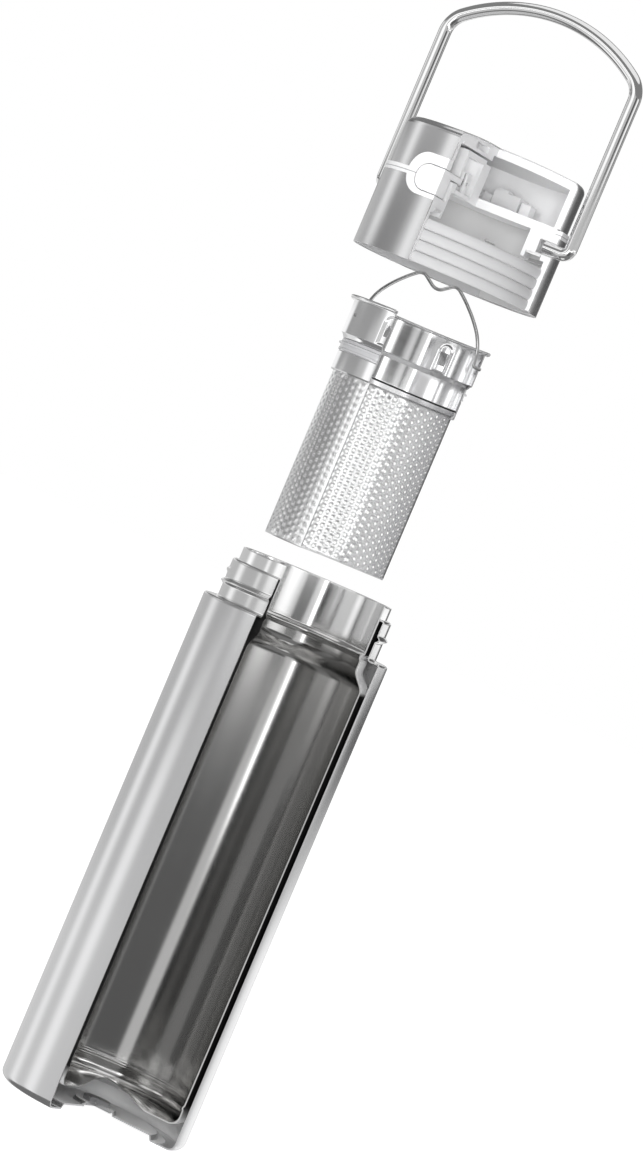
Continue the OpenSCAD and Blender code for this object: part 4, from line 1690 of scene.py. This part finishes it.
@dataclass
class Lid:
    """The screw lid with its press button, valve and carrying handle."""

    lift: float = Level.LID.value
    handle_thick: float = 4.7
    handle_half: float = 38.75
    handle_height: float = 76.9
    handle_corner: float = 9.65
    handle_arch: float = 60.65
    handle_shift: float = 1.3
    pivot: float = 209.9
    pin_inner: float = 29.3
    thread_radius: float = 32.3
    thread_lead: float = 0.3
    thread_spacing: float = 4.0
    thread_first: float = 320.5
    thread_count: int = 4
    thread_half: float = 1.9
    thread_depth: float = 0.65
    spring_wire: float = 0.5
    spring_turns: int = 6
    button_travel: float = 2.5
    plastic: tuple[str, ...] = (
        "lid_liner", "valve_housing", "air_valve_body", "air_valve_cap", "front_button",
        "button_slider", "valve_plug",
    )

    def handle_line(self) -> np.ndarray:
        """The handle's centre line, from one pivot pin's end over the arch to the other.

        Returns:
            One point in a row.
        """
        foot = self.handle_thick / 2 + 0.3
        corner = self.handle_half - self.handle_corner
        arch_z = self.handle_height - self.handle_arch
        corner_z = arch_z + math.sqrt((self.handle_arch - self.handle_corner) ** 2 - corner**2)
        meet = math.degrees(math.atan2(corner_z - arch_z, corner))
        right = (
            line((self.pin_inner, 0.0), (self.handle_half - foot - 0.3, 0.0), 1.5)
            + arc(self.handle_half - foot, foot, foot, -90, 0, 10)
            + line((self.handle_half, foot + 0.5), (self.handle_half, corner_z - 0.5), 3.0)
            + arc(corner, corner_z, self.handle_corner, 0, meet, 16)
            + arc(0.0, arch_z, self.handle_arch, meet, 90, 24)[1:]
        )
        both = np.array(cleaned(right + [(-x, z) for x, z in right[-2::-1]]))
        return np.stack(
            [both[:, 0] + self.handle_shift, np.zeros(len(both)), both[:, 1] + self.pivot + self.lift], axis=1
        )

    def build(self, finishes: Finishes, nodes: dict[str, bpy.types.Object]) -> None:
        """Makes the lid's pieces and dresses its CAD nodes.

        Args:
            finishes: The materials, made when first asked for.
            nodes: The CAD nodes' objects by name.
        """
        bent = rod(self.handle_line(), self.handle_thick / 2, 36)
        handle = piece("round_handle", *bent, finishes.get("rod_steel"))
        stand_for(handle, "handle", "wire_steel", "handle")
        values = {
            "Radius": self.thread_radius * MM,
            "Share of Turn": CUT_TO / 360,
            "Lead": self.thread_lead * MM,
            "Spacing": self.thread_spacing * MM,
            "Count": self.thread_count,
            "First Height": self.thread_first * MM,
            "Rib Height": self.thread_half * MM,
            "Rib Depth": self.thread_depth * MM,
        }
        # The ribs wear the grey of painted shade
        ribs = run_tree("lid_thread", thread_ribs_tree(), values, finishes.get("thread_painted_shade_plastic"), 40.0)
        stand_for(ribs, "lid", "white_plastic")
        self.spring(finishes)
        finishes.dress(nodes, self.plastic, "white_plastic")
        finishes.dress(nodes, ["lid_core"], "core_plastic")
        finishes.dress(nodes, ["trim_ring"], "trim_plastic")
        finishes.dress(nodes, ["lid_sleeve", "lid_cap"], "sleeve_steel")
        finishes.dress(nodes, ["lid_gasket", "valve_seal"], "silicone")
        finishes.dress(nodes, ["pivot_bushes"], "bush_steel")
        finishes.dress(nodes, ["cam_pin"], "wire_steel")

    def spring(self, finishes: Finishes) -> None:
        """Makes the button's spring as a coil that fills the CAD spring's box and rides on the lid.

        Args:
            finishes: The materials, made when first asked for.
        """
        low, high = (Vector(corner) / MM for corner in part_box("button_spring"))
        wound = tube(coil(low, high, self.spring_wire, self.spring_turns))
        made = piece("return_spring", *wound, finishes.get("wire_steel"))
        stand_for(made, "lid", "wire_steel", "button_spring")
        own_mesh(made)


# Studio


@dataclass(frozen=True)
class Panel:
    """A soft box or a dark card in the light tent.

    Angles are in degrees to the right of the camera, heights in mm, and a level of 1 is white.
    """

    angle: float
    half: float
    edge: float
    low: float
    high: float
    fade: float
    level: float

    def sizes(self) -> dict[str, float]:
        """The panel's sizes by the names of the shader group's inputs."""
        return dict(zip(PANEL_SIZES, (self.angle, self.half, self.edge, self.low, self.high, self.fade)))


# The values stand in the order of the fields, and later panels stand in front of earlier ones
PANELS: dict[str, Panel] = {
    "low_fill": Panel(-105, 65, 30, -900, 0, 120, 0.78),
    "low_card": Panel(66, 24, 12, -900, 140, 40, 0.28),
    "mouth_fill": Panel(66, 24, 12, 150, 204, 16, 0.9),
    "collar_fill": Panel(58, 30, 14, 280, 350, 16, 2.3),
    "left_strip": Panel(-117, 7, 12, -900, 1500, 50, 1.2),
    "middle_strip": Panel(-82, 8, 10, -900, 95, 90, 1.25),
    "neck_strip": Panel(-77, 3, 6, 155, 200, 12, 1.2),
    "inner_strip": Panel(-57, 6, 7, 155, 1500, 15, 1.2),
    "basket_card": Panel(-100, 30, 16, 205, 272, 16, 0.12),
    "lid_card": Panel(-87, 16, 10, 325, 402, 20, 0.22),
    "vessel_card": Panel(21, 22, 5, -900, 100, 100, 0.12),
    "window_low": Panel(-18, 4, 6, -900, 45, 60, 0.7),
    "window_high": Panel(-18, 5, 6, 45, 340, 60, 3.2),
    "mouth_light": Panel(32, 9, 14, 135, 200, 20, 1.2),
    "mouth_card": Panel(6, 9, 6, 135, 200, 20, 0.08),
    "basket_light": Panel(-2, 50, 20, 205, 272, 16, 2.6),
    "collar_card": Panel(25, 11, 12, 288, 345, 16, 0.06),
    "collar_line": Panel(0, 3, 6, 288, 345, 16, 0.08),
    "collar_side": Panel(-110, 30, 14, 288, 345, 16, 0.35),
    "edge_card": Panel(49, 5, 5, 200, 345, 12, 0.2),
    "basket_back": Panel(112, 22, 10, 205, 272, 16, 1.1),
    "right_card": Panel(150, 17, 14, 80, 1500, 70, 0.1),
    "right_low": Panel(150, 17, 14, -900, 20, 70, 1.15),
    "neck_side": Panel(140, 14, 8, 150, 190, 8, 1.2),
    "back_card": Panel(180, 16, 10, 380, 1500, 20, 0.25),
    "rim_light": Panel(180, 40, 10, 255, 330, 15, 1.0),
    "ceiling_card": Panel(0, 181, 1, 640, 1500, 60, 0.25),
    "floor_card": Panel(0, 181, 1, -3000, -420, 60, 0.22),
    "handle_light": Panel(-42, 20, 14, 432, 640, 16, 1.3),
    "handle_card": Panel(30, 14, 12, 432, 640, 16, 0.1),
    "handle_line": Panel(66, 10, 12, 432, 640, 16, 1.2),
    "handle_edge": Panel(99, 13, 10, 432, 640, 16, 0.2),
    "handle_side": Panel(-148, 12, 12, 432, 640, 16, 0.15),
}


@dataclass
class Studio:
    """Camera, floor, world, lamps and the light tent that the steel mirrors."""

    camera_turn: float = 24.5
    camera_distance: float = 1700.0
    camera_height: float = 242.6
    aim_right: float = 1.5
    aim_height: float = 204.3
    roll: float = 22.97
    lens: float = 149.96
    tent_radius: float = 900.0
    tent_low: float = -3000.0
    tent_high: float = 1500.0
    tent_level: float = 0.6
    tent_sides: int = 96
    sky: tuple[float, float, float, float] = (0.3, 0.3, 0.303, 1.0)
    floor_colour: tuple[float, float, float, float] = (0.93, 0.93, 0.93, 1.0)
    floor_glow: tuple[float, float] = (0.35, 0.85)
    floor_half: float = 6.0
    lamp_aim: float = 0.22

    def camera(self) -> None:
        """Makes the camera at the photograph's viewing angle, leaning as it does."""
        turn, far = math.radians(self.camera_turn), self.camera_distance
        place = Vector((far * math.sin(turn), -far * math.cos(turn), self.camera_height)) * MM
        aim = Vector((self.aim_right * math.cos(turn), self.aim_right * math.sin(turn), self.aim_height)) * MM
        data = bpy.data.cameras.new("camera")
        data.sensor_fit, data.sensor_width, data.lens = "AUTO", 36.0, self.lens
        data.clip_start, data.clip_end = 0.1, 50.0
        made = bpy.data.objects.new("camera", data)
        look = (aim - place).to_track_quat("-Z", "Y").to_matrix().to_4x4()
        roll = Matrix.Rotation(math.radians(self.roll), 4, "Z")
        made.matrix_world = Matrix.Translation(place) @ look @ roll
        bpy.context.scene.collection.objects.link(made)
        bpy.context.scene.camera = made

    def world(self) -> None:
        """A white world to the camera and to mirrors, and a soft sky for everything else."""
        world = bpy.data.worlds.new("studio")
        world.use_nodes = True
        n = Nodes(world.node_tree)
        back = world.node_tree.nodes["Background"]
        n.join(n.mix(n.seen(), self.sky, WHITE), back.inputs["Color"])
        back.inputs["Strength"].default_value = 1.0
        bpy.context.scene.world = world

    def floor(self) -> None:
        """A pale floor that keeps the shadow, lighter to the camera and to mirrors than to the object."""
        material, n, shader = new_material("floor")
        shader.inputs["Roughness"].default_value = 0.9
        shader.inputs["Specular IOR Level"].default_value = 0.0
        shader.inputs["Base Color"].default_value = self.floor_colour
        shader.inputs["Emission Color"].default_value = WHITE
        unseen, seen = self.floor_glow
        n.join(n.math("MULTIPLY_ADD", n.seen(), seen - unseen, unseen), shader.inputs["Emission Strength"])
        mesh = bpy.data.meshes.new("floor")
        half = self.floor_half
        corners = [(x * half, y * half, 0) for x, y in ((-1, -1), (1, -1), (1, 1), (-1, 1))]
        mesh.from_pydata(corners, [], [(0, 1, 2, 3)])
        mesh.materials.append(material)
        made = bpy.data.objects.new("floor", mesh)
        made.visible_glossy = False
        bpy.context.scene.collection.objects.link(made)

    def tent(self) -> None:
        """A round light tent that only mirrors see, with soft bright and dark bands."""
        soft_panel_group()
        material = bpy.data.materials.new("light_tent")
        material.use_nodes = True
        tree = material.node_tree
        tree.nodes.remove(tree.nodes["Principled BSDF"])
        n = Nodes(tree)
        x, y, z = n.separate(n.place())
        facing = math.radians(self.camera_turn - 90)
        cos, sin = math.cos(facing), math.sin(facing)
        towards = n.plus(n.times(x, cos), n.times(y, sin))
        right = n.minus(n.times(y, cos), n.times(x, sin))
        angle = n.times(n.math("ARCTAN2", right, towards), 180 / math.pi)
        height = n.times(z, 1 / MM)
        level = grey(self.tent_level)
        for name, panel in PANELS.items():
            mask = n.group("SoftPanel", {"Angle": angle, "Height": height, **panel.sizes()})
            mask.label = name
            level = n.mix(mask.outputs["Mask"], level, grey(panel.level))
        glow = n.add("ShaderNodeEmission")
        n.join(level, glow.inputs["Color"])
        glow.inputs["Strength"].default_value = 1.0
        n.join(glow.outputs[0], tree.nodes["Material Output"].inputs["Surface"])
        sides = self.tent_sides
        turn = np.radians(np.arange(sides) * 360 / sides)
        ring = np.stack([np.cos(turn), np.sin(turn)], axis=1) * self.tent_radius * MM
        points = [(*p, z * MM) for z in (self.tent_low, self.tent_high) for p in ring]
        faces = [(i, (i + 1) % sides, sides + (i + 1) % sides, sides + i) for i in range(sides)]
        mesh = bpy.data.meshes.new("light_tent")
        mesh.from_pydata(points, [], faces)
        mesh.materials.append(material)
        made = bpy.data.objects.new("light_tent", mesh)
        made.visible_camera = made.visible_diffuse = made.visible_shadow = made.visible_transmission = False
        bpy.context.scene.collection.objects.link(made)

    def lamp(self, name: str, place: tuple[float, float, float], size: float, power: float) -> None:
        """A square soft lamp that looks at the object's middle.

        Args:
            name: The lamp's name.
            place: Its place in metres.
            size: The length of its side in metres.
            power: Its power in watts.
        """
        data = bpy.data.lights.new(name, "AREA")
        data.shape, data.size, data.energy = "SQUARE", size, power
        made = bpy.data.objects.new(name, data)
        made.location = place
        look = Vector((0, 0, self.lamp_aim)) - Vector(place)
        made.rotation_euler = look.to_track_quat("-Z", "Y").to_euler()
        made.visible_glossy = False
        bpy.context.scene.collection.objects.link(made)

    def build(self) -> None:
        """Sets up the whole studio."""
        bpy.context.scene.view_settings.view_transform = "Standard"
        self.camera()
        self.world()
        self.floor()
        self.tent()
        self.lamp("key_lamp", place=(-0.13, -1.5, 0.5), size=0.4, power=7.0)
        self.lamp("front_lamp", place=(0.62, -1.37, 0.3), size=0.5, power=10.5)


def main() -> None:
    """Builds the frame, the sub-assemblies and the studio."""
    logging.basicConfig(level=logging.INFO, format="%(message)s")
    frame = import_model()
    finishes = Finishes()
    for group in (Flask(), Infuser(), Lid()):
        group.build(finishes, frame["nodes"])
        LOG.info("%s built", type(group).__name__)
    Studio().build()


if __name__ == "__main__":
    main()
